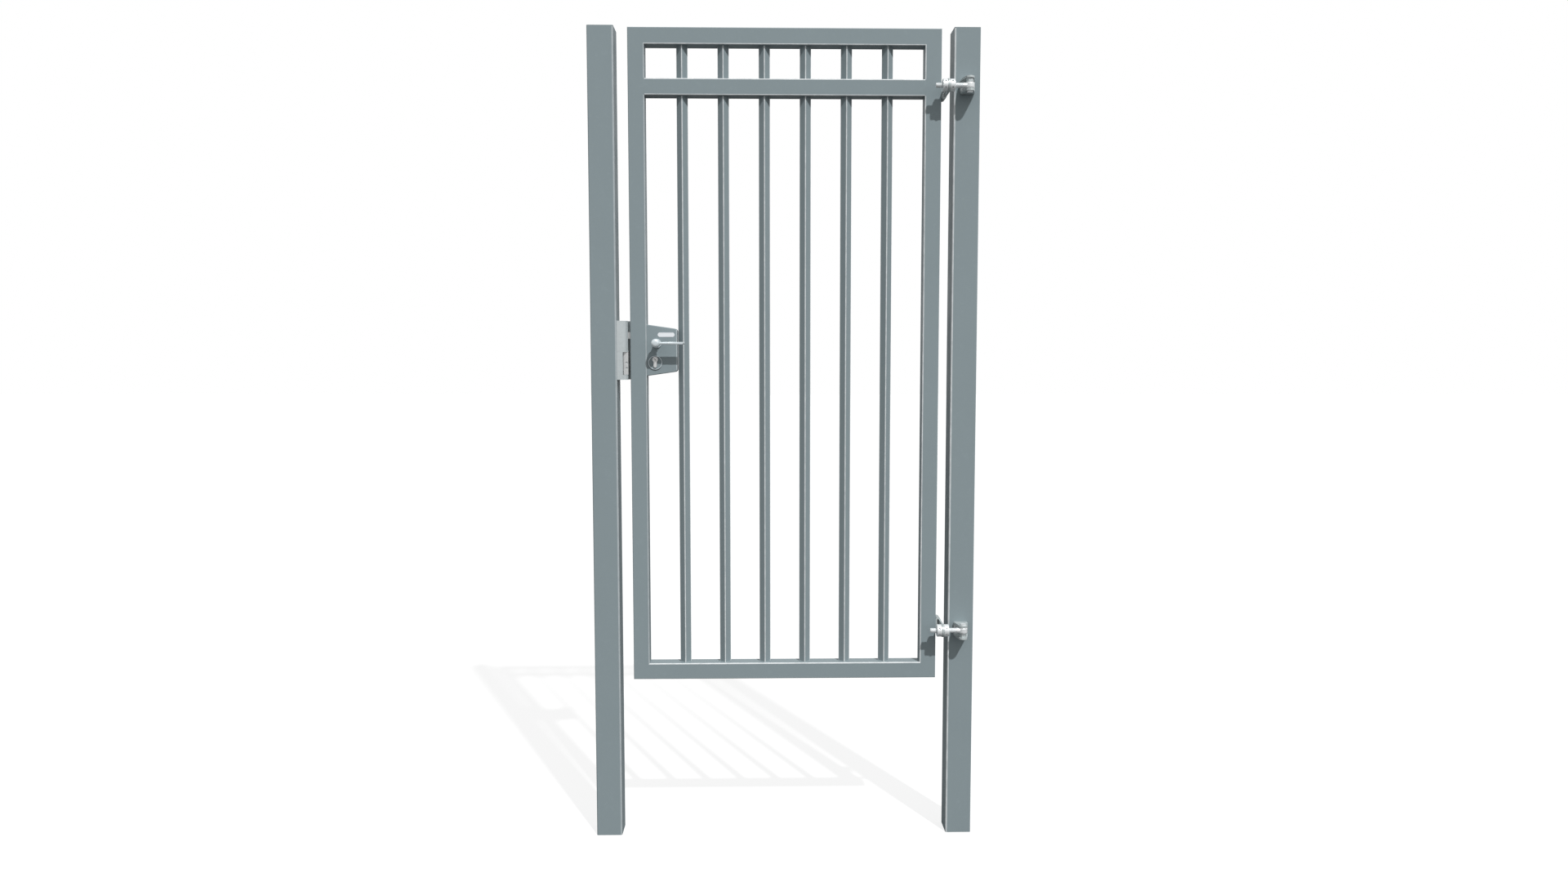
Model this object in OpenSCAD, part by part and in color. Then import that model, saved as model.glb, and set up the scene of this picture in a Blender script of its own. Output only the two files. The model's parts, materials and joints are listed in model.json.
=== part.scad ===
// Steel garden gate: a barred leaf between two square posts, with two adjustable
// eye-bolt hinges, a surface lock with lever handles and a keep on the latch post.
//
// Frame: X runs from the latch post to the hinge post, Y points away from the side
// the leaf opens towards, Z is up. The origin is midway between the posts, on their
// centre plane, at their lower ends. Millimetres.

/* [Leaf] */
// Width of the leaf
leaf_w = 950; // [700:10:1300]
// Height of the leaf
leaf_h = 2000; // [1300:10:2400]
// Side of the frame tubes
tube = 50; // [46:1:60]
// Wall of the frame tubes
tube_wall = 2.5; // [2:0.5:4]
// Outer corner radius of the frame tubes
tube_r = 2.5; // [1:0.5:5]
// Clear height of the small windows under the top rail
window_h = 100; // [60:5:300]

/* [Bars] */
// Side of the square bars, which stand with an edge to the front
bar = 25; // [15:1:30]
// Wall of the bars
bar_wall = 2; // [1:0.5:3]
// Outer corner radius of the bars
bar_r = 1.5; // [0.5:0.5:3]
// Gap between the lock housing and the edge of the first bar
bar_gap = 1.3; // [1:0.1:20]

/* [Posts] */
// Side of the posts
post_w = 80; // [70:5:120]
// Wall of the posts
post_wall = 4; // [3:0.5:6]
// Outer corner radius of the posts
post_r = 4; // [2:0.5:8]
// Height of the posts' lower ends below the leaf
post_below = 505; // [100:5:900]
// Height of the posts' tops above the leaf
post_above = 5; // [0:5:100]
// Thickness of the post caps
cap_t = 3; // [2:0.5:6]
// Gap between the latch post and the leaf
latch_gap = 42; // [38:1:46]
// Gap between the leaf and the hinge post
hinge_gap = 38; // [34:1:50]

/* [Hinges] */
// Upper eye bolt's height below the leaf's top
hinge_top = 179; // [120:1:300]
// Lower eye bolt's height above the leaf's underside
hinge_bottom = 163; // [120:1:300]
// Distance from the post's front face to the pin's axis
hinge_reach = 46; // [42:1:60]
// Diameter of the hinge pins
pin_d = 12; // [10:0.5:14]
// Diameter of the threaded rods
rod_d = 16; // [12:1:18]
// Length of the threaded rods from the pin's axis
rod_len = 102.5; // [96:0.5:130]
// Outer diameter of the rods' eyes
eye_d = 26; // [24:1:30]
// Height of the rods' eyes
eye_h = 20; // [18:1:24]
// Diameter of the round adjusting nuts
nut_d = 38; // [30:1:42]
// Width of the round adjusting nuts
nut_w = 16; // [10:1:18]
// Width of the post plates
plate_w = 44; // [42:1:60]
// Thickness of the post plates
plate_t = 6; // [4:0.5:8]
// Thickness of the leaf straps
strap_t = 5; // [3:0.5:6]
// Clear space between a strap's two legs
strap_gap = 6.5; // [5.5:0.5:8]
// Width of a strap's leg on the leaf
strap_w = 40; // [36:1:42]

/* [Lock] */
// Height of the lock's middle above the leaf's underside
lock_z = 1031; // [700:1:1060]
// Width of the lock housing
lock_w = 93.5; // [88:0.5:105]
// Height of the lock housing beside the frame tube
lock_h = 158; // [155:1:180]
// Fall of the housing's top edge towards its free side
lock_fall = 13.5; // [8:0.5:14]
// Wall of the lock housing
lock_wall = 3; // [2:0.5:4]
// Corner radius of the housing's free side
lock_r = 9; // [5:1:15]
// Distance from the frame tube to the lever's axis
lever_back = 31; // [28:0.5:34]
// Height of the lever's axis above the lock's middle
lever_up = 21; // [19:0.5:22]
// Reach of the levers from their axis
lever_len = 88; // [60:1:110]
// Height of the lever blades
lever_h = 8; // [6:0.5:10]
// Depth of the lever blades
lever_t = 15; // [10:0.5:18]
// Travel of the levers
lever_turn = 35; // [32:1:40]
// Side of the square spindle
spindle = 8; // [7:0.5:9]
// Distance from the frame tube to the cylinder's axis
cylinder_back = 26; // [25:0.5:27]
// Depth of the cylinder's axis below the lock's middle
cylinder_down = 28.5; // [27:0.5:30]
// Length of the lock cylinder
cylinder_len = 60; // [60:5:70]
// Travel of the latch bolt
latch_travel = 12; // [10:0.5:13]
// Travel of the dead bolt
dead_travel = 20; // [15:0.5:20]

/* [Keep] */
// Height of the keep
keep_h = 181; // [175:1:220]
// Thickness of the keep's walls
keep_t = 3; // [2:0.5:4]
// Width of the keep's front wall
keep_front = 18; // [16:0.5:20]
// Width and depth of the keep's sloped lip
keep_lip = 15; // [13:0.5:15]
// Reach of the stop behind the leaf
stop_reach = 16; // [12:1:25]
// Thickness of the rubber buffer
buffer_t = 2.2; // [1.5:0.1:3]

/* [Hidden] */
BARS = 6;
POST_NODES = ["latch_post", "hinge_post", "latch_post_cap", "hinge_post_cap",
    "upper_hinge_plate", "lower_hinge_plate", "upper_hinge_pin", "lower_hinge_pin",
    "hinge_pin_nuts", "hinge_plate_screws", "keep_body", "keep_strike",
    "keep_buffer", "keep_screws"];
FRAME_NODES = ["latch_stile", "hinge_stile", "top_rail", "mid_rail", "bottom_rail"];
BAR_NODES = [for (kind = ["short_bar_", "long_bar_"], i = [1:BARS]) str(kind, i)];
LOCK_NODES = ["lock_box", "lock_tray", "lock_tray_cover", "lock_faceplate",
    "faceplate_screws", "cylinder_body", "cylinder_screw", "cylinder_roses",
    "cylinder_rings", "lever_roses", "lever_spring", "front_lever", "back_lever",
    "spindle", "follower", "lever_grub_screws", "latch_bolt", "dead_bolt",
    "cylinder_plugs", "cylinder_cam"];
HINGE_NODES = ["upper_eye_bolt", "lower_eye_bolt", "hinge_bushes",
    "upper_hinge_nuts", "lower_hinge_nuts", "upper_hinge_strap",
    "lower_hinge_strap", "strap_screws"];

// clearances
run_fit = 0.05;      // radial, a shaft that turns in its hole
slide_fit = 0.3;     // a flat piece that slides past another
seat_fit = 0.1;      // a piece that is pushed into its seat and stays
bolt_room = 0.8;     // round a bolt head in its window
stop_gap = 0.3;      // between the closed leaf and the buffer
over = 1;            // how far a cutting shape runs past the cut face

// colours
paint = [0.51, 0.56, 0.59];
zinc = [0.80, 0.82, 0.82];
steel = [0.62, 0.64, 0.65];
satin = [0.74, 0.75, 0.75];
dark = [0.12, 0.12, 0.13];

// the posts and the leaf
opening = latch_gap + leaf_w + hinge_gap;
post_len = post_below + leaf_h + post_above;
front = -post_w / 2;
leaf_left = -opening / 2 + latch_gap;
mid_top = leaf_h - tube - window_h;
mid_low = mid_top - tube;
first_bar = tube + lock_w + bar_gap + bar / sqrt(2);
bar_pitch = (leaf_w - 2 * first_bar) / (BARS - 1);
cap_spigot = 12;
cap_spigot_wall = 3;

// the hinges, seen from the crossing of a pin's axis and its rod's axis
pin_x = opening / 2 + post_w / 2;
upper_z = post_below + leaf_h - hinge_top;
lower_z = post_below + hinge_bottom;
pin_r = pin_d / 2;
rod_r = rod_d / 2;
bush_wall = 1;
bush_r = pin_r + run_fit + bush_wall;
eye_round = 5;
washer_t = 2;
washer_r = pin_r + 5;
washer_gap = 0.2;
pin_nut_h = 9;
pin_nut_r = pin_r + 4.4;
pin_head_r = pin_r + 2.75;
pin_head_t = 4.5;
pin_out = 2;
pin_chamfer = 1;
ear_gap = 0.3;
ear_t = 6;
near_ear = eye_h / 2 + ear_gap;
far_ear = eye_h / 2 + washer_gap + washer_t + pin_nut_h + ear_gap;
plate_below = near_ear + ear_t;
plate_above = far_ear + ear_t;
plate_mid = (far_ear - near_ear) / 2;
plate_corner = 4;
plate_screw_r = 3.5;
plate_screw_edge = 7.5;
plate_screw_x = plate_w / 2 - plate_screw_edge;
plate_screw_z = (far_ear + near_ear) / 2 - plate_screw_edge;
screw_depth = 14;
screw_head = 3;
plate_hex_r = plate_screw_r - 0.8;
hex_depth = 3;
stile_side = -(hinge_gap + post_w / 2);
leg_left = stile_side;
leg_right = leg_left + strap_t + strap_gap;
strap_bend_r = strap_t + strap_gap / 2;
strap_rim = 1.5;
strap_ear_r = nut_d / 2 + strap_rim;
strap_top = strap_ear_r;
strap_bend_rise = 0.5;
strap_bend_z = strap_bend_rise - strap_ear_r;
strap_mid_y = hinge_reach + tube / 2;
strap_screw_r = 4;
strap_screw_pitch = 20;
strap_head_r = 6.5;
strap_head_t = 4;
strap_hex_r = 2.9;
strap_screw_past = 8;
driver_room = 1;
nut_gap = 0.1;
spanner_r = 3;
spanner_depth = 6;
spanner_holes = 6;

// the lock, in the leaf's own frame
mid_y = tube / 2;
lock_top_slope = atan(lock_fall / lock_w);
lock_set = 1;
lock_d = tube - 2 * lock_set;
box_front = mid_y - lock_d / 2;
box_back = mid_y + lock_d / 2;
lever_x = tube + lever_back;
lever_z = lock_z + lever_up;
cyl_x = tube + cylinder_back;
cyl_z = lock_z - cylinder_down;
tray_t = 18;
tray_wall = 1.5;
tray_room = 1.2;
tray_end_room = 12.5;
tray_left = tube_wall;
tray_right = tube + lock_w - lock_wall - tray_end_room;
slot_room = 0.5;
tray_drop = (tray_right - tube) * tan(lock_top_slope) + lock_wall / cos(lock_top_slope);
tray_h = lock_h - 2 * (tray_drop + tray_room);
rest_w = 8;
rest_back = 4;
tray_front = mid_y - tray_t / 2;
tray_back = mid_y + tray_t / 2;
face_w = 22;
face_reach = 11.5;
face_h = tray_h + 2 * face_reach;
face_r = face_w / 2;
face_screw_edge = 6;
face_screw_z = face_h / 2 - face_screw_edge;
face_screw_r = 2.5;
face_head = 1.8;
face_tab = 3;
face_tab_past = 5;
face_screw_past = 4;
bolt_t = 13;
bolt_h = 20;
tail_t = 5;

// lever parts
rose_r = 14;
rose_t = 4;
neck_r = 9;
neck_len = 22;
neck_step = 1;
knob_r = 13.5;
knob_len = 27;
knob_round = 9;
knob_back_round = 3;
lever_out = rose_t + neck_len + knob_len;
blade_out = rose_t + neck_len + knob_len / 2;
follower_r = 11;
follower_t = tray_t - 2 * tray_wall - 2 * slide_fit;
arm_t = 3.4;
arm_pin_r = 3.5;
arm_len = latch_travel / sin(lever_turn);
arm_room = 0.7;
spring_arm = 28;
socket_past = 8;
spindle_past = 6;
grub_set = 0.3;
spring_pin_r = 2;
spring_r = 3.6;
spring_wire = 1;
spring_turns = 16;
spring_low = lever_z + arm_pin_r + spring_wire / 2 + slide_fit;
spring_rise = 34;
spring_top = lever_z + spring_rise;
spring_high = spring_top - spring_pin_r - spring_wire / 2 - slide_fit;

// bolts
latch_rise = 4;
latch_z = lever_z + arm_len + latch_rise;
latch_out = 22;
latch_in = 24;
latch_bevel = 13;
tail_rise = 2;
tail_land = 4;
dead_throw_angle = 100;
cam_r = 15;
cam_hub_r = 8.5;
cam_w = 9.4;
nose_w = 7;
cam_gap = 1;
tail_h = 13;
tail_low = cyl_z + cam_hub_r + cam_gap;
tail_high = tail_low + tail_h;
notch_w = 10.4;
notch_top = cyl_z + cam_r + cam_gap;
dead_back = 26;
dead_drop = 1;
dead_set = 0.5;
dead_end = cyl_x - dead_back;
dead_low = tail_high - bolt_h - dead_drop;
dead_mid = dead_low + bolt_h / 2;
notch_x = cyl_x + dead_travel / 2;
tail_past = 6;
tail_end = notch_x + notch_w / 2 + tail_past;

// lock cylinder, a round barrel on a narrower web
cyl_r = 8.5;
web_w = 10;
cyl_h = 33;
plug_r = 6.5;
key_w = 1.6;
key_h = 8.5;
key_depth = 18;
plug_set = 0.4;
cyl_screw_drop = 17;
cyl_screw_z = cyl_z - cyl_screw_drop;
cyl_room = 0.3;
ring_r = 21;
ring_w = 1.6;
ring_drop = 9.5;
ring_z = cyl_z - ring_drop;
ring_out = 3.4;
dish_t = 1.5;

// the keep, in the leaf's own frame
keep_x = -latch_gap;
keep_y = 2;
keep_base = 4;
keep_z = lock_z;
keep_low = keep_z - keep_h / 2;
keep_depth = post_w - 2 * keep_y;
stop_y = tube + stop_gap + buffer_t;
stop_t = 4;
buffer_w = 9;
buffer_edge = 1;
buffer_short = 4;
lip_edge = 1.5;
cut_drop = 47;
cut_room = 1.5;
cut_low = cyl_z - cut_drop;
cut_high = dead_low + bolt_h + cut_room;
lip_end = keep_x + keep_front + keep_lip;
strike_left = keep_x + keep_base + seat_fit;
strike_past = 0.5;
strike_set = 12;
strike_right = lip_end + strike_past;
strike_front = keep_y + strike_set;
strike_step = keep_y + keep_lip + strike_past;
strike_back = stop_y - seat_fit;
strike_room = 0.5;
strike_foot = 12;
strike_head = 6;
pocket_end = keep_x + keep_front + strike_room;
clamp_edge = 4.8;
clamp_drops = [10, 26.2];
clamp_x = strike_right - clamp_edge;
clamps_z = [for (drop = clamp_drops) cyl_z - drop];
clamp_r = 2;
clamp_head = 3.3;
clamp_sink = 6;
clamp_head_t = 3;
clamp_hex_r = 1.7;
clamp_hex_depth = 2;
keep_screw_r = 3.5;
keep_screw_head = 6;
keep_screw_head_t = 3.5;
keep_screw_past = 6;
keep_hex_r = 2.5;
keep_hex_depth = 2;
keep_screw_y = mid_y;
keep_screw_low = 10;
keep_screw_high = 14;
keep_screws_z = [keep_low + keep_screw_low, cut_high + strike_head + keep_screw_low,
    keep_low + keep_h - keep_screw_high];

// ---- shared shapes ----------------------------------------------------

module rounded_square(side, r) {
    translate([r, 0]) square([side - 2 * r, side]);
    translate([0, r]) square([side, side - 2 * r]);
    for (x = [r, side - r], y = [r, side - r])
        translate([x, y]) circle(r = r, $fn = 32);
}

module tube_section(side, wall, r) {
    inner_r = max(r - wall, 0.5);
    difference() {
        rounded_square(side, r);
        translate([wall, wall]) rounded_square(side - 2 * wall, inner_r);
    }
}

// square tube along Z from the origin
module upright_tube(side, wall, r, length) {
    linear_extrude(length) tube_section(side, wall, r);
}

// square tube along X from the origin
module level_tube(side, wall, r, length) {
    rotate([90, 0, 90]) linear_extrude(length) tube_section(side, wall, r);
}

// plate outline drawn as [x, z] points, from y0 to y1
module in_xz(y0, y1) {
    translate([0, y1, 0]) rotate([90, 0, 0]) linear_extrude(y1 - y0) children();
}

// plate outline drawn as [y, z] points, from x0 to x1
module in_yz(x0, x1) {
    translate([x0, 0, 0]) rotate([90, 0, 90]) linear_extrude(x1 - x0) children();
}

// round bar along Y from y0 to y1
module bar_y(x, z, r, y0, y1) {
    translate([x, y0, z]) rotate([-90, 0, 0]) cylinder(h = y1 - y0, r = r, $fn = 48);
}

// round bar along X from x0 to x1
module bar_x(y, z, r, x0, x1) {
    translate([x0, y, z]) rotate([0, 90, 0]) cylinder(h = x1 - x0, r = r, $fn = 48);
}

module block(low, high) {
    translate(low) cube(high - low);
}

function arc(x, y, r, from, to, steps) =
    [for (i = [0:steps]) let (a = from + (to - from) * i / steps)
        [x + r * cos(a), y + r * sin(a)]];

module at_leaf() {
    translate([leaf_left, front, post_below]) children();
}

module at_upper_hinge() {
    translate([pin_x, front - hinge_reach, upper_z]) children();
}

// the lower hinge is the upper one turned upside down
module at_lower_hinge() {
    translate([pin_x, front - hinge_reach, lower_z]) mirror([0, 0, 1]) children();
}

// ---- posts ------------------------------------------------------------

module post(x) {
    translate([x, front, 0])
        upright_tube(post_w, post_wall, post_r, post_len - cap_t);
}

module post_cap(x) {
    color(paint)
    translate([x, front, post_len - cap_t]) {
        linear_extrude(cap_t) rounded_square(post_w, post_r);
        translate([post_wall + seat_fit, post_wall + seat_fit, -cap_spigot])
            upright_tube(post_w - 2 * (post_wall + seat_fit), cap_spigot_wall,
                post_r / 2, cap_spigot);
    }
}

module plate_screw_places() {
    for (x = [-plate_screw_x, plate_screw_x], z = [-plate_screw_z, plate_screw_z])
        translate([x, hinge_reach, plate_mid + z]) children();
}

module latch_post() {
    color(paint) difference() {
        post(-opening / 2 - post_w);
        at_leaf() for (z = keep_screws_z)
            bar_x(keep_screw_y, z, keep_screw_r + seat_fit,
                keep_x - post_wall - over, keep_x + over);
    }
}

module hinge_post() {
    color(paint) difference() {
        post(opening / 2);
        at_upper_hinge() post_screw_holes();
        at_lower_hinge() post_screw_holes();
    }
}

module post_screw_holes() {
    plate_screw_places()
        bar_y(0, 0, plate_screw_r + seat_fit, -over, post_wall + over);
}

// ---- hinge parts on the post ---------------------------------------------

// flat ear of the bracket, from the plate's full width to a round end on the pin
module hinge_ear() {
    flat = hinge_reach - plate_t;
    half = plate_w / 2;
    r = eye_d / 2;
    side = atan2(flat, half) - acos(r / norm([half, flat]));
    linear_extrude(ear_t) difference() {
        polygon(concat([[-half, flat + over]], [[-half, flat]],
            arc(0, 0, r, -180 - side, side, 24), [[half, flat]],
            [[half, flat + over]]));
        circle(r = pin_r, $fn = 64);
    }
}

// bracket screwed to the post, with two ears that hold the pin
module hinge_plate() {
    half = plate_w / 2;
    color(zinc) difference() {
        intersection() {
            union() {
                block([-half, hinge_reach - plate_t, -plate_below],
                    [half, hinge_reach, plate_above]);
                translate([0, 0, -plate_below]) hinge_ear();
                translate([0, 0, far_ear]) hinge_ear();
            }
            in_xz(-eye_d, hinge_reach) polygon(concat(
                arc(half - plate_corner, plate_corner - plate_below,
                    plate_corner, -90, 0, 6),
                arc(half - plate_corner, plate_above - plate_corner,
                    plate_corner, 0, 90, 6),
                arc(plate_corner - half, plate_above - plate_corner,
                    plate_corner, 90, 180, 6),
                arc(plate_corner - half, plate_corner - plate_below,
                    plate_corner, 180, 270, 6)));
        }
        plate_screw_places() {
            bar_y(0, 0, plate_screw_r + seat_fit, -plate_t - over, over);
            translate([0, -plate_t, 0]) rotate([-90, 0, 0])
                cylinder(h = screw_head, r1 = plate_screw_r + screw_head + seat_fit,
                    r2 = plate_screw_r + seat_fit, $fn = 32);
        }
    }
}

// pin with a flat head, pushed into both ears and running through the eye
module hinge_pin() {
    shank = plate_below + plate_above + pin_out - pin_chamfer;
    color(steel) translate([0, 0, -plate_below]) {
        translate([0, 0, -pin_head_t])
            cylinder(h = pin_head_t, r = pin_head_r, $fn = 64);
        cylinder(h = shank, r = pin_r, $fn = 64);
        translate([0, 0, shank])
            cylinder(h = pin_chamfer, r1 = pin_r, r2 = pin_r - pin_chamfer, $fn = 64);
    }
}

// washer and nut between the eye and the far ear, which set the leaf's height
module pin_nut() {
    translate([0, 0, eye_h / 2 + washer_gap]) difference() {
        union() {
            cylinder(h = washer_t, r = washer_r, $fn = 64);
            translate([0, 0, washer_t])
                cylinder(h = pin_nut_h, r = pin_nut_r, $fn = 6);
        }
        translate([0, 0, -over])
            cylinder(h = washer_t + pin_nut_h + 2 * over, r = pin_r + run_fit, $fn = 64);
    }
}

module hinge_pin_nuts() {
    color(zinc) {
        at_upper_hinge() pin_nut();
        at_lower_hinge() pin_nut();
    }
}

// countersunk socket screw, its head's face at y = 0, pointing along Y
module plate_screw() {
    rotate([-90, 0, 0]) difference() {
        union() {
            cylinder(h = screw_head, r1 = plate_screw_r + screw_head,
                r2 = plate_screw_r, $fn = 32);
            cylinder(h = screw_depth, r = plate_screw_r, $fn = 32);
        }
        translate([0, 0, -over])
            cylinder(h = hex_depth + over, r = plate_hex_r, $fn = 6);
    }
}

module hinge_plate_screws() {
    color(steel) {
        at_upper_hinge() plate_screw_places() translate([0, -plate_t, 0]) plate_screw();
        at_lower_hinge() plate_screw_places() translate([0, -plate_t, 0]) plate_screw();
    }
}

// ---- hinge parts on the leaf ---------------------------------------------

module eye_bolt() {
    chamfer = 1.5;
    color(zinc) difference() {
        union() {
            rotate_extrude($fn = 64) polygon(concat([[0, -eye_h / 2]],
                arc(eye_d / 2 - eye_round, eye_round - eye_h / 2, eye_round, -90, 0, 4),
                arc(eye_d / 2 - eye_round, eye_h / 2 - eye_round, eye_round, 0, 90, 4),
                [[0, eye_h / 2]]));
            bar_x(0, 0, rod_r, -rod_len + chamfer, 0);
            translate([-rod_len, 0, 0]) rotate([0, 90, 0])
                cylinder(h = chamfer, r1 = rod_r - chamfer, r2 = rod_r, $fn = 48);
        }
        translate([0, 0, -eye_h / 2 - over])
            cylinder(h = eye_h + 2 * over, r = bush_r + run_fit, $fn = 64);
    }
}

module hinge_bush() {
    difference() {
        translate([0, 0, -eye_h / 2]) cylinder(h = eye_h, r = bush_r, $fn = 64);
        translate([0, 0, -eye_h / 2 - over])
            cylinder(h = eye_h + 2 * over, r = pin_r + run_fit, $fn = 64);
    }
}

module hinge_bushes() {
    color(dark) {
        at_upper_hinge() hinge_bush();
        at_lower_hinge() hinge_bush();
    }
}

// round nut from x0 towards +X, with radial holes for a pin spanner
module round_nut(x0) {
    edge = 1.5;
    r = nut_d / 2;
    translate([x0, 0, 0]) rotate([0, 90, 0]) difference() {
        rotate_extrude($fn = 64) polygon([[0, 0], [r - edge, 0], [r, edge],
            [r, nut_w - edge], [r - edge, nut_w], [0, nut_w]]);
        translate([0, 0, -over]) cylinder(h = nut_w + 2 * over,
            r = rod_r + run_fit, $fn = 48);
        for (i = [0:spanner_holes - 1]) rotate([0, 0, 360 * i / spanner_holes])
            translate([0, r - spanner_depth, nut_w / 2]) rotate([-90, 0, 0])
                cylinder(h = spanner_depth + over, r = spanner_r, $fn = 24);
    }
}

module nut_pair() {
    color(zinc) {
        round_nut(leg_right - nut_gap - nut_w);
        round_nut(leg_right + strap_t + nut_gap);
    }
}

module strap_screw_places() {
    for (y = [-strap_screw_pitch / 2, strap_screw_pitch / 2])
        translate([0, strap_mid_y + y, 0]) children();
}

// strap bent into a U: one leg screwed to the leaf, the other carries the rod
module hinge_strap() {
    y0 = strap_mid_y - strap_w / 2;
    y1 = strap_mid_y + strap_w / 2;
    bend_x = leg_left + strap_bend_r;
    color(zinc) difference() {
        union() {
            block([leg_left, y0, strap_bend_z], [leg_left + strap_t, y1, strap_top]);
            block([leg_right, 0, -strap_ear_r], [leg_right + strap_t, y1, strap_top]);
            bar_x(0, 0, strap_ear_r, leg_right, leg_right + strap_t);
            in_xz(y0, y1) intersection() {
                translate([bend_x, strap_bend_z]) difference() {
                    circle(r = strap_bend_r, $fn = 48);
                    circle(r = strap_gap / 2, $fn = 48);
                }
                translate([bend_x - 2 * strap_bend_r, strap_bend_z - 2 * strap_bend_r])
                    square([4 * strap_bend_r, 2 * strap_bend_r]);
            }
        }
        bar_x(0, 0, rod_r + run_fit, leg_right - over, leg_right + strap_t + over);
        strap_screw_places() {
            bar_x(0, 0, strap_screw_r + seat_fit, leg_left - over, leg_left + strap_t + over);
            bar_x(0, 0, strap_head_r + driver_room, leg_right - over,
                leg_right + strap_t + over);
        }
    }
}

module strap_screw_pair() {
    head = leg_left + strap_t;
    strap_screw_places() {
        bar_x(0, 0, strap_screw_r, leg_left - tube_wall - strap_screw_past, head);
        difference() {
            bar_x(0, 0, strap_head_r, head, head + strap_head_t);
            translate([head + strap_head_t - hex_depth, 0, 0]) rotate([0, 90, 0])
                cylinder(h = hex_depth + over, r = strap_hex_r, $fn = 6);
        }
    }
}

module strap_screws() {
    color(steel) {
        at_upper_hinge() strap_screw_pair();
        at_lower_hinge() strap_screw_pair();
    }
}

// ---- leaf frame ----------------------------------------------------------

module latch_stile() {
    color(paint) at_leaf() difference() {
        union() {
            intersection() {
                upright_tube(tube, tube_wall, tube_r, leaf_h);
                in_xz(-over, tube + over)
                    polygon([[0, 0], [tube, tube], [tube, leaf_h - tube], [0, leaf_h]]);
            }
            face_tabs();
        }
        translate([-over, 0, 0]) faceplate_shape(seat_fit, tube_wall + over);
        face_screw_places() bar_x(0, 0, face_screw_r + seat_fit,
            tube_wall - over, tube_wall + face_tab + over);
        block([tube / 2, tray_front - slot_room, lock_z - tray_h / 2 - slot_room],
            [tube + over, tray_back + slot_room, lock_z + tray_h / 2 + slot_room]);
    }
}

// two ledges behind the faceplate's ends, which its screws hold to
module face_tabs() {
    tall = face_h / 2 + face_tab_past - tray_h / 2 - seat_fit;
    for (z = [lock_z - face_h / 2 - face_tab_past, lock_z + tray_h / 2 + seat_fit])
        block([tube_wall / 2, mid_y - face_r, z],
            [tube_wall + face_tab, mid_y + face_r, z + tall]);
}

module hinge_stile() {
    x = leaf_w - tube;
    color(paint) difference() {
        at_leaf() intersection() {
            translate([x, 0, 0]) upright_tube(tube, tube_wall, tube_r, leaf_h);
            in_xz(-over, tube + over)
                polygon([[leaf_w, 0], [leaf_w, leaf_h], [x, leaf_h - tube], [x, tube]]);
        }
        at_upper_hinge() stile_screw_holes();
        at_lower_hinge() stile_screw_holes();
    }
}

module stile_screw_holes() {
    strap_screw_places() bar_x(0, 0, strap_screw_r + seat_fit,
        stile_side - tube_wall - over, stile_side + over);
}

module top_rail() {
    z = leaf_h - tube;
    color(paint) at_leaf() intersection() {
        translate([0, 0, z]) level_tube(tube, tube_wall, tube_r, leaf_w);
        in_xz(-over, tube + over)
            polygon([[0, leaf_h], [tube, z], [leaf_w - tube, z], [leaf_w, leaf_h]]);
    }
}

module bottom_rail() {
    color(paint) at_leaf() intersection() {
        level_tube(tube, tube_wall, tube_r, leaf_w);
        in_xz(-over, tube + over)
            polygon([[0, 0], [leaf_w, 0], [leaf_w - tube, tube], [tube, tube]]);
    }
}

module mid_rail() {
    color(paint) at_leaf() translate([tube, 0, mid_low])
        level_tube(tube, tube_wall, tube_r, leaf_w - 2 * tube);
}

// one bar, its edge to the front
module edge_bar(i, low, high) {
    color(paint) at_leaf()
        translate([first_bar + (i - 1) * bar_pitch, mid_y, low]) rotate(45)
            translate([-bar / 2, -bar / 2]) upright_tube(bar, bar_wall, bar_r, high - low);
}

module short_bar(i) {
    edge_bar(i, mid_top, leaf_h - tube);
}

module long_bar(i) {
    edge_bar(i, tube, mid_low);
}

// ---- lock housing and case -------------------------------------------------

// housing outline as [x, z] points, shrunk all round by inset
function box_outline(inset) =
    let (right = tube + lock_w - inset, r = lock_r - inset, a = lock_top_slope,
        left_half = lock_h / 2 - inset / cos(a),
        right_half = left_half - (lock_w - inset - r) * tan(a) - r / cos(a))
    concat([[tube, lock_z - left_half]],
        arc(right - r, lock_z - right_half, r, -90 + a, 0, 8),
        arc(right - r, lock_z + right_half, r, 0, 90 - a, 8),
        [[tube, lock_z + left_half]]);

// round barrel with its narrower web, grown all round by grow
module euro_shape(grow) {
    web_end = cyl_h - cyl_r - web_w / 2;
    translate([cyl_x, cyl_z]) circle(r = cyl_r + grow, $fn = 48);
    translate([cyl_x - web_w / 2 - grow, cyl_z - web_end]) square([web_w + 2 * grow, web_end]);
    translate([cyl_x, cyl_z - web_end]) circle(r = web_w / 2 + grow, $fn = 48);
}

module lock_box() {
    color(paint) at_leaf() difference() {
        in_xz(box_front, box_back) polygon(box_outline(0));
        difference() {
            in_xz(box_front + lock_wall, box_back - lock_wall)
                polygon(box_outline(lock_wall));
            tray_rests();
        }
        bar_y(lever_x, lever_z, neck_r + neck_step, box_front - over, box_back + over);
        in_xz(box_front - over, box_back + over) euro_shape(cyl_room);
    }
}

// two pads that the case rests between, one each side, by the box's free end
module tray_rests() {
    x1 = tray_right - rest_back;
    for (z = [lock_z - tray_h / 4, lock_z + tray_h / 4]) {
        low = z - rest_w / 2;
        high = z + rest_w / 2;
        block([x1 - rest_w, box_front, low], [x1, tray_front - seat_fit, high]);
        block([x1 - rest_w, tray_back + seat_fit, low], [x1, box_back, high]);
    }
}

module tray_outline() {
    translate([tray_left, lock_z - tray_h / 2]) square([tray_right - tray_left, tray_h]);
}

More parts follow.
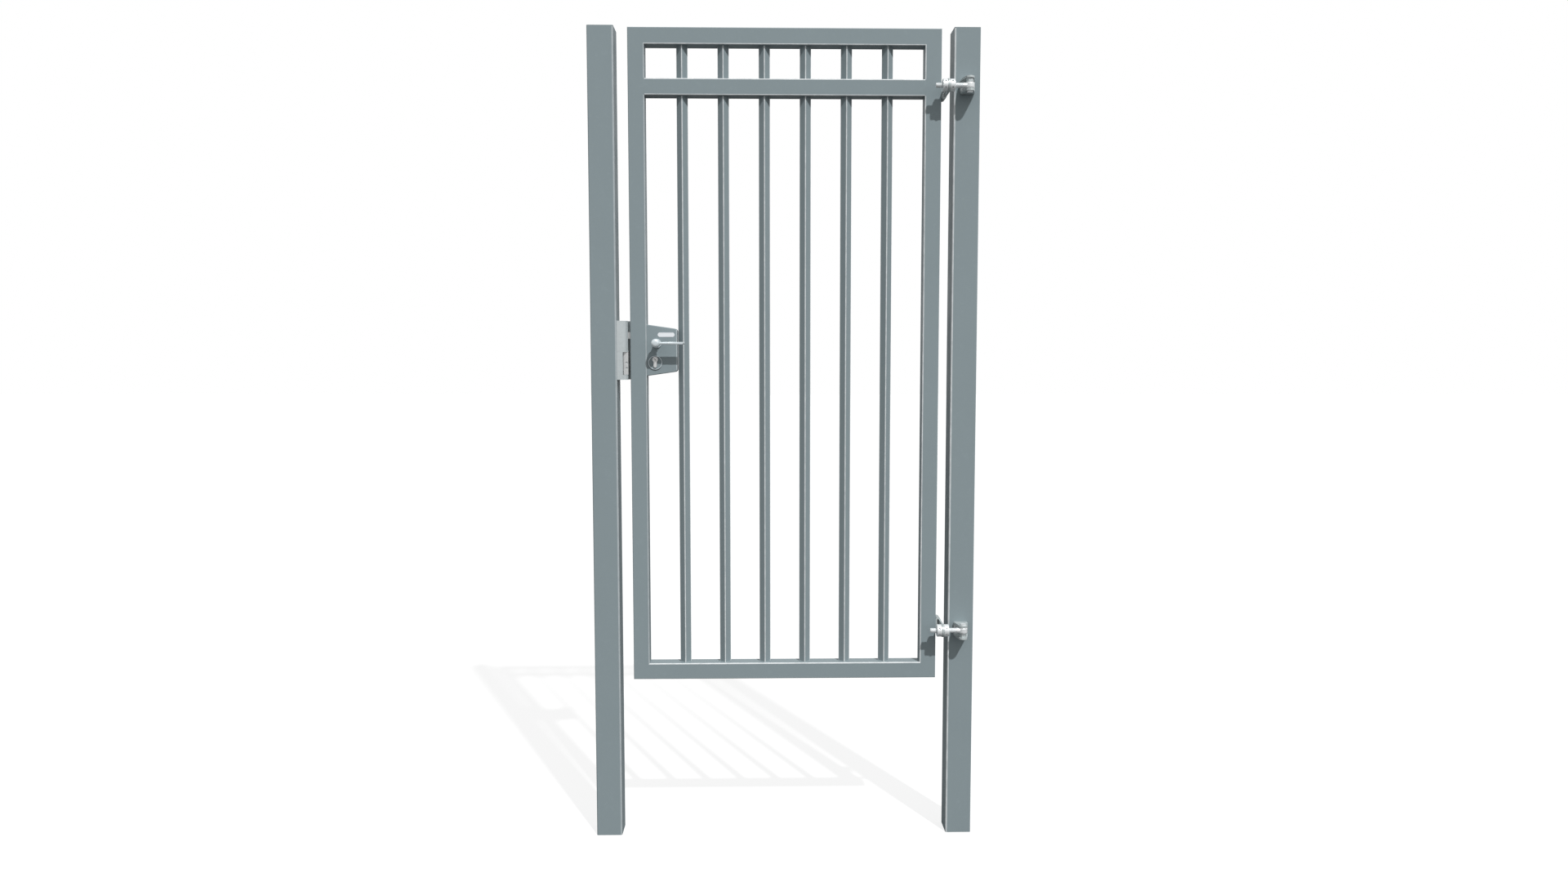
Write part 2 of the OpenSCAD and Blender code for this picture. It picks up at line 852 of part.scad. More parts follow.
module lock_tray() {
    color(steel) at_leaf() difference() {
        union() {
            difference() {
                in_xz(tray_front, tray_back - tray_wall) tray_outline();
                block([tray_left + tray_wall, tray_front + tray_wall,
                        lock_z - tray_h / 2 + tray_wall],
                    [tray_right - tray_wall, tray_back + over,
                        lock_z + tray_h / 2 - tray_wall]);
            }
            bar_y(lever_x + spring_arm, spring_top, spring_pin_r, tray_front,
                tray_back - tray_wall);
        }
        tray_openings();
        bolt_windows(tray_left - over, tray_left + tray_wall + over);
        bar_x(mid_y, cyl_screw_z, face_screw_r + seat_fit,
            tray_left - over, tray_left + tray_wall + over);
    }
}

module lock_tray_cover() {
    color(steel) at_leaf() difference() {
        in_xz(tray_back - tray_wall, tray_back) tray_outline();
        tray_openings();
    }
}

// where the follower's ends and the cylinder pass through the case
module tray_openings() {
    bar_y(lever_x, lever_z, neck_r + run_fit, tray_front - over, tray_back + over);
    in_xz(tray_front - over, tray_back + over) euro_shape(cyl_room);
}

module bolt_windows(x0, x1) {
    half = bolt_t / 2 + slide_fit;
    for (z = [latch_z, dead_mid])
        block([x0, mid_y - half, z - bolt_h / 2 - slide_fit],
            [x1, mid_y + half, z + bolt_h / 2 + slide_fit]);
}

module face_screw_places() {
    for (z = [lock_z - face_screw_z, lock_z + face_screw_z])
        translate([0, mid_y, z]) children();
}

// plate with round ends, flush in the outer face of the latch stile
module faceplate_shape(grow, thick) {
    half = face_h / 2 - face_r;
    r = face_r + grow;
    in_yz(0, thick) {
        translate([mid_y - r, lock_z - half]) square([2 * r, 2 * half]);
        for (z = [lock_z - half, lock_z + half])
            translate([mid_y, z]) circle(r = r, $fn = 48);
    }
}

module lock_faceplate() {
    color(satin) at_leaf() difference() {
        faceplate_shape(0, tube_wall);
        bolt_windows(-over, tube_wall + over);
        translate([0, mid_y, cyl_screw_z]) flat_screw(tube_wall + over, seat_fit);
        face_screw_places() flat_screw(tube_wall + over, seat_fit);
    }
}

// countersunk screw along X, its head's face at x = 0, grown all round by grow
module flat_screw(length, grow) {
    r = face_screw_r + grow;
    rotate([0, 90, 0]) {
        translate([0, 0, -grow]) cylinder(h = length + grow, r = r, $fn = 32);
        translate([0, 0, -grow])
            cylinder(h = face_head + grow, r1 = r + face_head + grow, r2 = r, $fn = 32);
    }
}

module faceplate_screws() {
    color(steel) at_leaf() face_screw_places()
        flat_screw(tube_wall + face_tab + face_screw_past, 0);
}

// ---- lock cylinder ---------------------------------------------------------

module cylinder_body() {
    y0 = mid_y - cylinder_len / 2;
    y1 = mid_y + cylinder_len / 2;
    half = cam_w / 2 + slide_fit;
    color(satin) at_leaf() difference() {
        in_xz(y0, y1) euro_shape(0);
        block([cyl_x - cyl_r - over, mid_y - half, cyl_z - cam_hub_r - slide_fit],
            [cyl_x + cyl_r + over, mid_y + half, cyl_z + cyl_r + over]);
        bar_y(cyl_x, cyl_z, plug_r + run_fit, y0 - over, y1 + over);
        bar_x(mid_y, cyl_screw_z, face_screw_r + seat_fit, cyl_x - web_w, cyl_x + web_w);
    }
}

module cylinder_plugs() {
    half = cam_w / 2;
    front_end = mid_y - cylinder_len / 2;
    back_end = mid_y + cylinder_len / 2;
    color(satin) at_leaf() difference() {
        union() {
            bar_y(cyl_x, cyl_z, plug_r, front_end + plug_set, mid_y - half);
            bar_y(cyl_x, cyl_z, plug_r, mid_y + half, back_end - plug_set);
        }
        for (y = [front_end - over, back_end - key_depth])
            translate([cyl_x, y, cyl_z]) rotate([0, -dead_throw_angle / 2, 0])
                translate([-key_w / 2, 0, -key_h / 2])
                    cube([key_w, key_depth + over, key_h]);
    }
}

module cylinder_cam() {
    color(steel) at_leaf() translate([cyl_x, 0, cyl_z]) rotate([0, dead_throw_angle / 2, 0]) {
        bar_y(0, 0, cam_hub_r, mid_y - cam_w / 2, mid_y + cam_w / 2);
        block([-nose_w / 2, mid_y - cam_w / 2, 0],
            [nose_w / 2, mid_y + cam_w / 2, cam_r]);
    }
}

module cylinder_screw() {
    color(steel) at_leaf() translate([0, mid_y, cyl_screw_z])
        flat_screw(cyl_x + web_w / 2, 0);
}

// the same piece on the front and, turned round, on the back
module both_sides() {
    children();
    translate([0, 2 * mid_y, 0]) mirror([0, 1, 0]) children();
}

module cylinder_roses() {
    color(paint) at_leaf() both_sides() difference() {
        bar_y(cyl_x, ring_z, ring_r - ring_w - seat_fit, box_front - dish_t, box_front);
        in_xz(box_front - dish_t - over, box_front + over) euro_shape(cyl_room);
    }
}

module cylinder_rings() {
    color(satin) at_leaf() both_sides() difference() {
        bar_y(cyl_x, ring_z, ring_r, box_front - ring_out, box_front);
        bar_y(cyl_x, ring_z, ring_r - ring_w, box_front - ring_out - over, box_front + over);
    }
}

// ---- levers ------------------------------------------------------------------

module lever_roses() {
    color(satin) at_leaf() both_sides() difference() {
        union() {
            bar_y(lever_x, lever_z, rose_r, box_front - rose_t, box_front);
            bar_y(lever_x, lever_z, neck_r + neck_step - seat_fit, box_front - over,
                box_front + lock_wall);
        }
        bar_y(lever_x, lever_z, neck_r - neck_step + run_fit, box_front - rose_t - over,
            box_front + lock_wall + over);
    }
}

// lever in front of the lock: a domed knob on a neck, and a flat blade
module lever() {
    face = box_front - rose_t - slide_fit;
    knob_back = face - neck_len;
    knob_face = knob_back - knob_len;
    blade_y = knob_back - knob_len / 2;
    flat = knob_r - knob_round;
    color(satin) difference() {
        union() {
            bar_y(0, 0, neck_r - neck_step, knob_back - over, box_front + lock_wall);
            bar_y(0, 0, neck_r, knob_back - over, face);
            translate([0, knob_back, 0]) rotate([90, 0, 0]) rotate_extrude($fn = 48)
                polygon(concat([[0, 0]],
                    arc(knob_r - knob_back_round, knob_back_round, knob_back_round, -90, 0, 4),
                    arc(flat, knob_len - knob_round, knob_round, 0, 90, 8),
                    [[0, knob_len]]));
            blade(blade_y);
        }
        block([-spindle / 2 - seat_fit, knob_back - socket_past, -spindle / 2 - seat_fit],
            [spindle / 2 + seat_fit, mid_y, spindle / 2 + seat_fit]);
        translate([0, face - neck_len / 2, -neck_r - over])
            cylinder(h = neck_r + over, r = face_screw_r + seat_fit, $fn = 32);
    }
}

// blade along X with a round end, its long edges rounded
module blade(y) {
    edge = 2.5;
    end = lever_len - lever_t / 2;
    intersection() {
        translate([0, y, 0]) in_yz(0, lever_len) {
            square([lever_t - 2 * edge, lever_h], center = true);
            square([lever_t, lever_h - 2 * edge], center = true);
            for (u = [-1, 1], v = [-1, 1])
                translate([u * (lever_t / 2 - edge), v * (lever_h / 2 - edge)])
                    circle(r = edge, $fn = 24);
        }
        translate([0, y, -lever_h]) linear_extrude(2 * lever_h) {
            translate([0, -lever_t / 2]) square([end, lever_t]);
            translate([end, 0]) circle(d = lever_t, $fn = 48);
        }
    }
}

module at_lever() {
    at_leaf() translate([lever_x, 0, lever_z]) children();
}

module front_lever() {
    at_lever() lever();
}

module back_lever() {
    at_lever() translate([0, 2 * mid_y, 0]) mirror([0, 1, 0]) lever();
}

module spindle_bar() {
    out = mid_y - box_front + rose_t + neck_len + spindle_past;
    color(steel) at_lever()
        block([-spindle / 2, mid_y - out, -spindle / 2],
            [spindle / 2, mid_y + out, spindle / 2]);
}

module lever_grub_screws() {
    y = box_front - rose_t - slide_fit - neck_len / 2;
    color(dark) at_lever() both_sides()
        translate([0, y, grub_set - neck_r])
            cylinder(h = neck_r - grub_set - spindle / 2 - seat_fit, r = face_screw_r,
                $fn = 32);
}

// hub that the spindle turns, with an arm for the latch bolt and one for the spring
module follower() {
    y0 = mid_y - follower_t / 2;
    y1 = mid_y + follower_t / 2;
    color(steel) at_lever() difference() {
        union() {
            bar_y(0, 0, follower_r, y0, y1);
            bar_y(0, 0, neck_r, tray_front, tray_back);
            block([-arm_pin_r, y1 - arm_t, 0], [arm_pin_r, y1, arm_len]);
            bar_y(0, arm_len, arm_pin_r, mid_y - tail_t / 2, y1);
            block([0, y1 - arm_t, -arm_pin_r], [spring_arm, y1, arm_pin_r]);
            bar_y(spring_arm, 0, arm_pin_r, y1 - arm_t, y1);
            bar_y(spring_arm, 0, spring_pin_r, mid_y - tail_t / 2, y1);
        }
        half = spindle / 2 + seat_fit;
        block([-half, tray_front - over, -half], [half, tray_back + over, half]);
    }
}

// extension spring: the centre line climbs in turns, the ends wrap the two pins
function coil(i, n) =
    let (t = i / n, a = 360 * spring_turns * t)
    [spring_r * cos(a), spring_r * sin(a), spring_low + (spring_high - spring_low) * t];

module lever_spring() {
    steps = spring_turns * 10;
    sides = 6;
    ring = [for (i = [0:steps]) let (p = coil(i, steps), a = 360 * spring_turns * i / steps)
        for (s = [0:sides - 1]) let (b = 360 * s / sides, w = spring_wire / 2)
            [p[0] + w * cos(b) * cos(a), p[1] + w * cos(b) * sin(a), p[2] + w * sin(b)]];
    walls = [for (i = [0:steps - 1], s = [0:sides - 1]) let (n = (s + 1) % sides)
        [i * sides + s, i * sides + n, (i + 1) * sides + n, (i + 1) * sides + s]];
    ends = [[for (s = [sides - 1:-1:0]) s], [for (s = [0:sides - 1]) steps * sides + s]];
    color(steel) at_leaf() translate([lever_x + spring_arm, mid_y, 0])
        polyhedron(ring, concat(walls, ends));
}

// ---- bolts ---------------------------------------------------------------------

module latch_bolt() {
    half = bolt_t / 2;
    low = latch_z - bolt_h / 2;
    color(satin) at_leaf() difference() {
        union() {
            translate([0, 0, low]) linear_extrude(bolt_h) polygon([
                [latch_in, mid_y - half], [-latch_out, mid_y - half],
                [-latch_out, mid_y], [latch_bevel - latch_out, mid_y + half],
                [latch_in, mid_y + half]]);
            block([latch_in, mid_y - tail_t / 2, lever_z + follower_r + tail_rise],
                [lever_x + arm_pin_r + arm_room + tail_land, mid_y + tail_t / 2,
                    latch_z + bolt_h / 2]);
        }
        block([lever_x - arm_pin_r - arm_room, 0, lever_z],
            [lever_x + arm_pin_r + arm_room, tube, lever_z + arm_len + arm_pin_r + arm_room]);
    }
}

module dead_bolt() {
    half = bolt_t / 2;
    color(satin) at_leaf() difference() {
        union() {
            block([dead_set, mid_y - half, dead_low],
                [dead_end, mid_y + half, dead_low + bolt_h]);
            block([dead_end - over, mid_y - tail_t / 2, tail_low],
                [tail_end, mid_y + tail_t / 2, tail_high]);
        }
        block([notch_x - notch_w / 2, 0, tail_low - over],
            [notch_x + notch_w / 2, tube, notch_top]);
    }
}

// ---- keep ----------------------------------------------------------------------

// section of the keep as [x, y]: base, front wall, sloped lip and stop
module keep_section() {
    x0 = keep_x;
    y0 = keep_y;
    front_end = x0 + keep_front;
    t = keep_t;
    translate([x0, y0]) square([keep_base, keep_depth]);
    translate([x0, y0]) square([keep_front, t]);
    polygon([[front_end - over, y0], [front_end, y0],
        [front_end + keep_lip, y0 + keep_lip - lip_edge],
        [front_end + keep_lip, y0 + keep_lip],
        [front_end + keep_lip - 2 * t / 3, y0 + keep_lip],
        [front_end - over, y0 + t]]);
    translate([x0, stop_y]) square([latch_gap + stop_reach, stop_t]);
}

module keep_body() {
    color(zinc) at_leaf() difference() {
        translate([0, 0, keep_low]) linear_extrude(keep_h) keep_section();
        block([keep_x + keep_front, -over, cut_low],
            [lip_end + over, stop_y - over, cut_high]);
        for (z = keep_screws_z) {
            bar_x(keep_screw_y, z, keep_screw_r + seat_fit, keep_x - over,
                keep_x + keep_base + over);
        }
        for (z = clamps_z)
            bar_y(clamp_x, z, clamp_r + seat_fit, stop_y - over, stop_y + stop_t + over);
    }
}

// solid block behind the lip's cut-out, with the pocket that the dead bolt enters
module keep_strike() {
    room = bolt_t / 2 + bolt_room;
    color(satin) at_leaf() difference() {
        union() {
            block([strike_left, strike_step, cut_low + strike_foot],
                [strike_right, strike_back, cut_high + strike_head]);
            block([keep_x + keep_front + strike_room, strike_front, cut_low + strike_room],
                [strike_right, strike_step + over, cut_high - strike_room]);
        }
        block([pocket_end, mid_y - room, dead_low - bolt_room],
            [strike_right + over, mid_y + room, dead_low + bolt_h + bolt_room]);
        for (z = clamps_z) {
            bar_y(clamp_x, z, clamp_r + seat_fit, strike_front, strike_back + over);
            bar_y(clamp_x, z, clamp_head + seat_fit, strike_front - over,
                strike_front + clamp_sink);
        }
    }
}

module keep_buffer() {
    color(dark) at_leaf()
        block([stop_reach - buffer_w - buffer_edge, stop_y - buffer_t,
                keep_low + buffer_short],
            [stop_reach - buffer_edge, stop_y, keep_low + keep_h - buffer_short]);
}

// screws that hold the keep to the post
module keep_screw(z) {
    head = keep_x + keep_base;
    bar_x(keep_screw_y, z, keep_screw_r, keep_x - post_wall - keep_screw_past, head);
    difference() {
        bar_x(keep_screw_y, z, keep_screw_head, head, head + keep_screw_head_t);
        translate([head + keep_screw_head_t - keep_hex_depth, keep_screw_y, z])
            rotate([0, 90, 0])
                cylinder(h = keep_hex_depth + over, r = keep_hex_r, $fn = 6);
    }
}

// sunk screws that clamp the strike block to the stop
module clamp_screw(z) {
    head_back = strike_front + clamp_sink;
    head_front = head_back - clamp_head_t;
    difference() {
        union() {
            bar_y(clamp_x, z, clamp_head, head_front, head_back);
            bar_y(clamp_x, z, clamp_r, head_back, stop_y + stop_t);
        }
        translate([clamp_x, head_front - over, z]) rotate([-90, 0, 0])
            cylinder(h = clamp_hex_depth + over, r = clamp_hex_r, $fn = 6);
    }
}

module keep_screws() {
    color(steel) at_leaf() {
        for (z = keep_screws_z) keep_screw(z);
        for (z = clamps_z) clamp_screw(z);
    }
}

// ---- the whole gate --------------------------------------------------------------

latch_post();
hinge_post();
post_cap(-opening / 2 - post_w);  // latch_post_cap
post_cap(opening / 2);  // hinge_post_cap
at_upper_hinge() hinge_plate();  // upper_hinge_plate
at_lower_hinge() hinge_plate();  // lower_hinge_plate
at_upper_hinge() hinge_pin();  // upper_hinge_pin
at_lower_hinge() hinge_pin();  // lower_hinge_pin
hinge_pin_nuts();
hinge_plate_screws();
keep_body();
keep_strike();
keep_buffer();
keep_screws();
latch_stile();
hinge_stile();
top_rail();
mid_rail();
bottom_rail();
for (i = [1:BARS]) {
    short_bar(i);
    long_bar(i);
}
lock_box();
lock_tray();
lock_tray_cover();
lock_faceplate();
faceplate_screws();
cylinder_body();
cylinder_screw();
cylinder_roses();
cylinder_rings();
lever_roses();
lever_spring();
front_lever();
back_lever();
spindle_bar();  // spindle
follower();
lever_grub_screws();
latch_bolt();
dead_bolt();
cylinder_plugs();
cylinder_cam();
at_upper_hinge() eye_bolt();  // upper_eye_bolt
at_lower_hinge() eye_bolt();  // lower_eye_bolt
hinge_bushes();
at_upper_hinge() nut_pair();  // upper_hinge_nuts
at_lower_hinge() nut_pair();  // lower_hinge_nuts
at_upper_hinge() hinge_strap();  // upper_hinge_strap
at_lower_hinge() hinge_strap();  // lower_hinge_strap
strap_screws();
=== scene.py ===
"""Finishes, threads, weld beads and stage for a steel garden gate, built round its fixed CAD frame.

Lengths are in metres. X runs from the latch post to the hinge post, Y points away from the
side that the leaf opens towards, Z is up from the posts' lower ends.
"""

import json
from math import pi, radians, sqrt

import bmesh
import bpy
from bpy.props import FloatProperty, FloatVectorProperty, IntProperty
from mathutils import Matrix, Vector

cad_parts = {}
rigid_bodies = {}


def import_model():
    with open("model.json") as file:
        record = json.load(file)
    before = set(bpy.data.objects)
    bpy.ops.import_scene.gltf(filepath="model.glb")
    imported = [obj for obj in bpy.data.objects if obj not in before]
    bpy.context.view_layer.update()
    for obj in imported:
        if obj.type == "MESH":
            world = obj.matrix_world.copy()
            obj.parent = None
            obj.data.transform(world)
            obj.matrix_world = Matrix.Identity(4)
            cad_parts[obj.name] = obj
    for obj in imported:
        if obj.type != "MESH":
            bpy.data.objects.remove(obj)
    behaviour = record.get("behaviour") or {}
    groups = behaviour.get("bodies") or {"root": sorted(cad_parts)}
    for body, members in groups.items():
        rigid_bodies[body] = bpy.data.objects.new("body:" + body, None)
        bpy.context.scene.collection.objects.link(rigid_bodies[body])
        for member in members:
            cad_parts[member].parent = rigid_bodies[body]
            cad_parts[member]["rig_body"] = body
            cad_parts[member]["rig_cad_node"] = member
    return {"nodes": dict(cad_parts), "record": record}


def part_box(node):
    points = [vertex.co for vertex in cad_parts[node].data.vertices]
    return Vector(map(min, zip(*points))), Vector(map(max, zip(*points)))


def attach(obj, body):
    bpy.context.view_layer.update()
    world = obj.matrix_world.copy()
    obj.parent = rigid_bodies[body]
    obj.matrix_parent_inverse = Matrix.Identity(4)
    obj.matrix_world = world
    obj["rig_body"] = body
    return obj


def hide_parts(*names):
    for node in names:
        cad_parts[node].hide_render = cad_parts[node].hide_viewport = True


bl_info = {
    "name": "Garden Gate",
    "version": (1, 0, 0),
    "blender": (4, 5, 0),
    "location": "View3D > Sidebar > Garden Gate",
    "description": "Finishes and modelled details of a steel garden gate, and its stage",
    "category": "Object",
}

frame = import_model()
NODES = frame["nodes"]
SLOT_OF = {part["node"]: part["material_slot"] for part in frame["record"]["subparts"]}

POSTS = ["latch_post", "hinge_post"]
LEAF_TUBES = ["latch_stile", "hinge_stile", "top_rail", "mid_rail", "bottom_rail"]
BARS = sorted(n for n in NODES if n.startswith(("short_bar_", "long_bar_")))

SAME = 1e-5  # two places this close count as one
NEAR = 1e-4  # a point this close to a rim or a face counts as on it
MOSTLY = 0.9  # share of a normal or of a length that tells which way it lies
SHARP = radians(60)  # faces that meet at more than this have a sharp edge between them


# ---- sizes and colours a user would change ---------------------------------


class GateColours(bpy.types.PropertyGroup):
    """Base colours of the gate's finishes."""

    coat: FloatVectorProperty(
        name="Coat", description="Grey powder coat of the tubes and the lock housing",
        subtype="COLOR", size=3, min=0, max=1, default=(0.230, 0.279, 0.296),
    )
    # painted highlight: this light colour laid along the rounded edges stands in for highlight
    # lines on them
    coat_edge: FloatVectorProperty(
        name="Painted edge highlight", description="Thinner, lighter coat on the tubes' rounded edges",
        subtype="COLOR", size=3, min=0, max=1, default=(0.66, 0.69, 0.70),
    )
    galvanised: FloatVectorProperty(
        name="Galvanised steel", description="Dull zinc of the hinge brackets, straps and pin nuts",
        subtype="COLOR", size=3, min=0, max=1, default=(0.50, 0.55, 0.555),
    )
    zinc: FloatVectorProperty(
        name="Zinc plate", description="Brighter zinc of the eye bolts, nuts, pins and screws",
        subtype="COLOR", size=3, min=0, max=1, default=(0.81, 0.84, 0.85),
    )
    aluminium: FloatVectorProperty(
        name="Satin aluminium", description="Levers, lever roses and cylinder rings",
        subtype="COLOR", size=3, min=0, max=1, default=(0.69, 0.76, 0.79),
    )
    cast_aluminium: FloatVectorProperty(
        name="Cast aluminium", description="Duller body of the keep",
        subtype="COLOR", size=3, min=0, max=1, default=(0.575, 0.625, 0.635),
    )
    stainless: FloatVectorProperty(
        name="Stainless steel", description="Bolts, faceplate, strike block and lock cylinder",
        subtype="COLOR", size=3, min=0, max=1, default=(0.78, 0.79, 0.79),
    )
    plate: FloatVectorProperty(
        name="Label plate", description="Bare plate on the lock housing",
        subtype="COLOR", size=3, min=0, max=1, default=(0.76, 0.785, 0.81),
    )
    floor: FloatVectorProperty(
        name="Floor", description="Floor as it lights the gate from below",
        subtype="COLOR", size=3, min=0, max=1, default=(0.115, 0.115, 0.115),
    )


class GateSizes(bpy.types.PropertyGroup):
    """Sizes of the modelled details."""

    tube_edge: FloatProperty(
        name="Frame tube edge", description="Outer corner radius of the frame tubes",
        unit="LENGTH", min=0.001, max=0.005, default=0.0025,
    )
    post_edge: FloatProperty(
        name="Post edge", description="Outer corner radius of the posts",
        unit="LENGTH", min=0.002, max=0.008, default=0.004,
    )
    bar_edge: FloatProperty(
        name="Bar edge", description="Outer corner radius of the bars",
        unit="LENGTH", min=0.0005, max=0.003, default=0.0015,
    )
    thread_pitch: FloatProperty(
        name="Thread pitch", description="Rise of the rods' thread in one turn",
        unit="LENGTH", min=0.001, max=0.003, default=0.002,
    )
    thread_start: FloatProperty(
        name="Plain shank", description="Length of plain rod between the pin's axis and the thread",
        unit="LENGTH", min=0.014, max=0.04, default=0.022,
    )
    bead: FloatProperty(
        name="Weld bead", description="Height of the weld bead round each bar's end",
        unit="LENGTH", min=0.001, max=0.005, default=0.002,
    )
    housing_edge: FloatProperty(
        name="Housing edge", description="Rounding of the lock housing's front and back edges",
        unit="LENGTH", min=0.0005, max=0.0028, default=0.0025,
    )
    housing_steps: IntProperty(
        name="Housing edge steps", description="Faces across the housing's rounded edges",
        min=2, max=8, default=4,
    )
    plate_length: FloatProperty(
        name="Label plate length", description="Length of the bare plate on the housing",
        unit="LENGTH", min=0.03, max=0.056, default=0.052,
    )
    plate_height: FloatProperty(
        name="Label plate height", description="Height of the bare plate on the housing",
        unit="LENGTH", min=0.01, max=0.016, default=0.0135,
    )


class GateLight(bpy.types.PropertyGroup):
    """Lamp, surroundings and camera."""

    sun: FloatProperty(
        name="Sun", description="Strength of the one lamp", min=0, max=10, default=2.93,
    )
    sun_angle: FloatProperty(
        name="Sun size", description="Apparent size of the lamp, which softens shadows",
        subtype="ANGLE", min=0, max=pi, default=radians(1.5),
    )
    sun_towards: FloatVectorProperty(
        name="Towards the sun", description="Direction from the gate to the lamp",
        subtype="DIRECTION", size=3, default=(0.277, -0.577, 0.768),
    )
    sky: FloatProperty(
        name="Sky", description="Strength of the surroundings' light", min=0, max=2, default=0.65,
    )
    lens: FloatProperty(
        name="Lens", description="Focal length in millimetres, for a sensor 36 mm wide",
        min=10, max=200, default=25.077,
    )
    camera_place: FloatVectorProperty(
        name="Camera", description="Place of the camera",
        subtype="TRANSLATION", size=3, default=(-0.069542, -3.415798, 1.517101),
    )
    camera_turn: FloatVectorProperty(
        name="Camera turn", description="Rotation of the camera",
        subtype="EULER", size=3, default=(pi / 2 - 0.07723, 0.0, -0.0203),
    )


# ---- selecting and shaping --------------------------------------------------


def rest():
    """Leave edit mode and deselect everything."""
    if bpy.context.mode != "OBJECT":
        bpy.ops.object.mode_set(mode="OBJECT")
    bpy.ops.object.select_all(action="DESELECT")


def take(piece):
    """Make a piece the only selected object, and the active one."""
    rest()
    piece.select_set(True)
    bpy.context.view_layer.objects.active = piece
    return piece


def open_mesh(piece):
    """Enter edit mode on a piece with nothing selected."""
    take(piece)
    bpy.ops.object.mode_set(mode="EDIT")
    bpy.ops.mesh.select_all(action="DESELECT")


def pick(kind, find):
    """Select only the vertices, edges or faces of the open mesh that find lists."""
    bpy.ops.mesh.select_mode(type=kind)
    bpy.ops.mesh.select_all(action="DESELECT")
    piece = bpy.context.object
    shape = bmesh.from_edit_mesh(piece.data)
    found = find(shape)
    if not found:
        raise RuntimeError(f"nothing to shape on {piece.name}")
    for item in found:
        item.select_set(True)
    bmesh.update_edit_mesh(piece.data)


def pick_verts(test):
    """Select only the vertices whose place passes the test."""
    pick("VERT", lambda shape: [v for v in shape.verts if test(v.co)])


def pick_edges(test):
    """Select only the edges that pass the test, which is also given their two ends."""
    pick("EDGE", lambda shape: [
        e for e in shape.edges if test(e, e.verts[0].co, e.verts[1].co)
    ])


def pick_faces(test):
    """Select only the faces whose centre and normal pass the test."""
    pick("FACE", lambda shape: [
        f for f in shape.faces if test(f.calc_center_median(), f.normal)
    ])


def close_mesh():
    """Merge doubles, turn the faces outwards and leave edit mode."""
    bpy.ops.mesh.select_all(action="SELECT")
    bpy.ops.mesh.remove_doubles(threshold=1e-6)
    bpy.ops.mesh.normals_make_consistent(inside=False)
    bpy.ops.object.mode_set(mode="OBJECT")


def settle(piece, name, angle=30):
    """Apply a piece's place, name it and smooth it where faces meet at less than the angle."""
    take(piece)
    bpy.ops.object.transform_apply(location=True, rotation=True, scale=True)
    bpy.ops.object.shade_smooth_by_angle(angle=radians(angle))
    piece.name = name
    piece.data.name = name
    return piece


def wear(piece, finish, slot, body, *replaced):
    """Give a piece its finish and body, and hide the CAD nodes it stands for."""
    piece.data.materials.clear()
    piece.data.materials.append(finish)
    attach(piece, body)
    if replaced:
        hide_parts(*replaced)
    return piece


def twin_of(piece):
    """Copy a piece with its own mesh, and make the copy the active object."""
    take(piece)
    bpy.ops.object.duplicate()
    return bpy.context.object


def copy_of(piece, name, shift):
    """Copy a finished piece, moved by shift, and finish the copy."""
    twin = twin_of(piece)
    bpy.ops.transform.translate(value=shift)
    return settle(twin, name)


def join(first, *others):
    """Join the other pieces to the first one."""
    take(first)
    for other in others:
        other.select_set(True)
    bpy.ops.object.join()
    return first


def body_of(node):
    """Name of the CAD body that a node belongs to."""
    for body, members in frame["record"]["behaviour"]["bodies"].items():
        if node in members:
            return body
    raise RuntimeError(f"no body holds {node}")


def merged_copy(node, name, join_flats=True):
    """Copy a CAD node's mesh, merge its loose triangles and join those of one flat area."""
    twin = twin_of(NODES[node])
    # the copy is a piece of its own, and no longer marked as a CAD node
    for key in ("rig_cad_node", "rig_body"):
        if key in twin:
            del twin[key]
    twin.parent = None
    twin.name = name
    open_mesh(twin)
    bpy.ops.mesh.select_all(action="SELECT")
    bpy.ops.mesh.remove_doubles(threshold=2e-6)
    if join_flats:
        bpy.ops.mesh.dissolve_limited(angle_limit=radians(0.5))
    bpy.ops.object.mode_set(mode="OBJECT")
    return twin


# ---- shader helpers --------------------------------------------------------


def add_node(tree, kind, inputs=None, **settings):
    """Add a shader node, set it up and fill its inputs with values or links."""
    made = tree.nodes.new("ShaderNode" + kind)
    for key, value in settings.items():
        setattr(made, key, value)
    for key, value in (inputs or {}).items():
        if isinstance(value, bpy.types.NodeSocket):
            tree.links.new(value, made.inputs[key])
        else:
            made.inputs[key].default_value = value
    return made


def maths(tree, operation, *values):
    """One Math node's result."""
    return add_node(tree, "Math", dict(enumerate(values)), operation=operation).outputs[0]


def blend(tree, factor, first, second):
    """Mix two colours, given as links or plain colours."""
    # the Mix node's colour sockets share their names with others, so they go by number
    mix = add_node(tree, "Mix", {0: factor}, data_type="RGBA")
    for index, colour in ((6, first), (7, second)):
        if isinstance(colour, bpy.types.NodeSocket):
            tree.links.new(colour, mix.inputs[index])
        else:
            mix.inputs[index].default_value = (*colour, 1)
    return mix.outputs[2]


def scaled(colour, by):
    """A colour made lighter or darker."""
    return tuple(min(1.0, c * by) for c in colour)


def ramp(tree, value, start, stop, first, last):
    """Smooth step from first, where the value is at start, to last, where it is at stop."""
    return add_node(
        tree, "MapRange", {0: value, 1: start, 2: stop, 3: first, 4: last},
        interpolation_type="SMOOTHSTEP",
    ).outputs[0]


def noise(tree, place, scale, detail=2.0, roughness=0.5, stretch=None):
    """Noise over Object coordinates, with an optional stretch along the axes."""
    if stretch:
        place = add_node(tree, "Mapping", {"Vector": place, "Scale": stretch}).outputs[0]
    return add_node(
        tree, "TexNoise",
        {"Vector": place, "Scale": scale, "Detail": detail, "Roughness": roughness},
    ).outputs[0]


def bump(tree, height, strength, distance):
    """Bump normal from a height."""
    return add_node(
        tree, "Bump", {"Height": height, "Strength": strength, "Distance": distance},
    ).outputs[0]


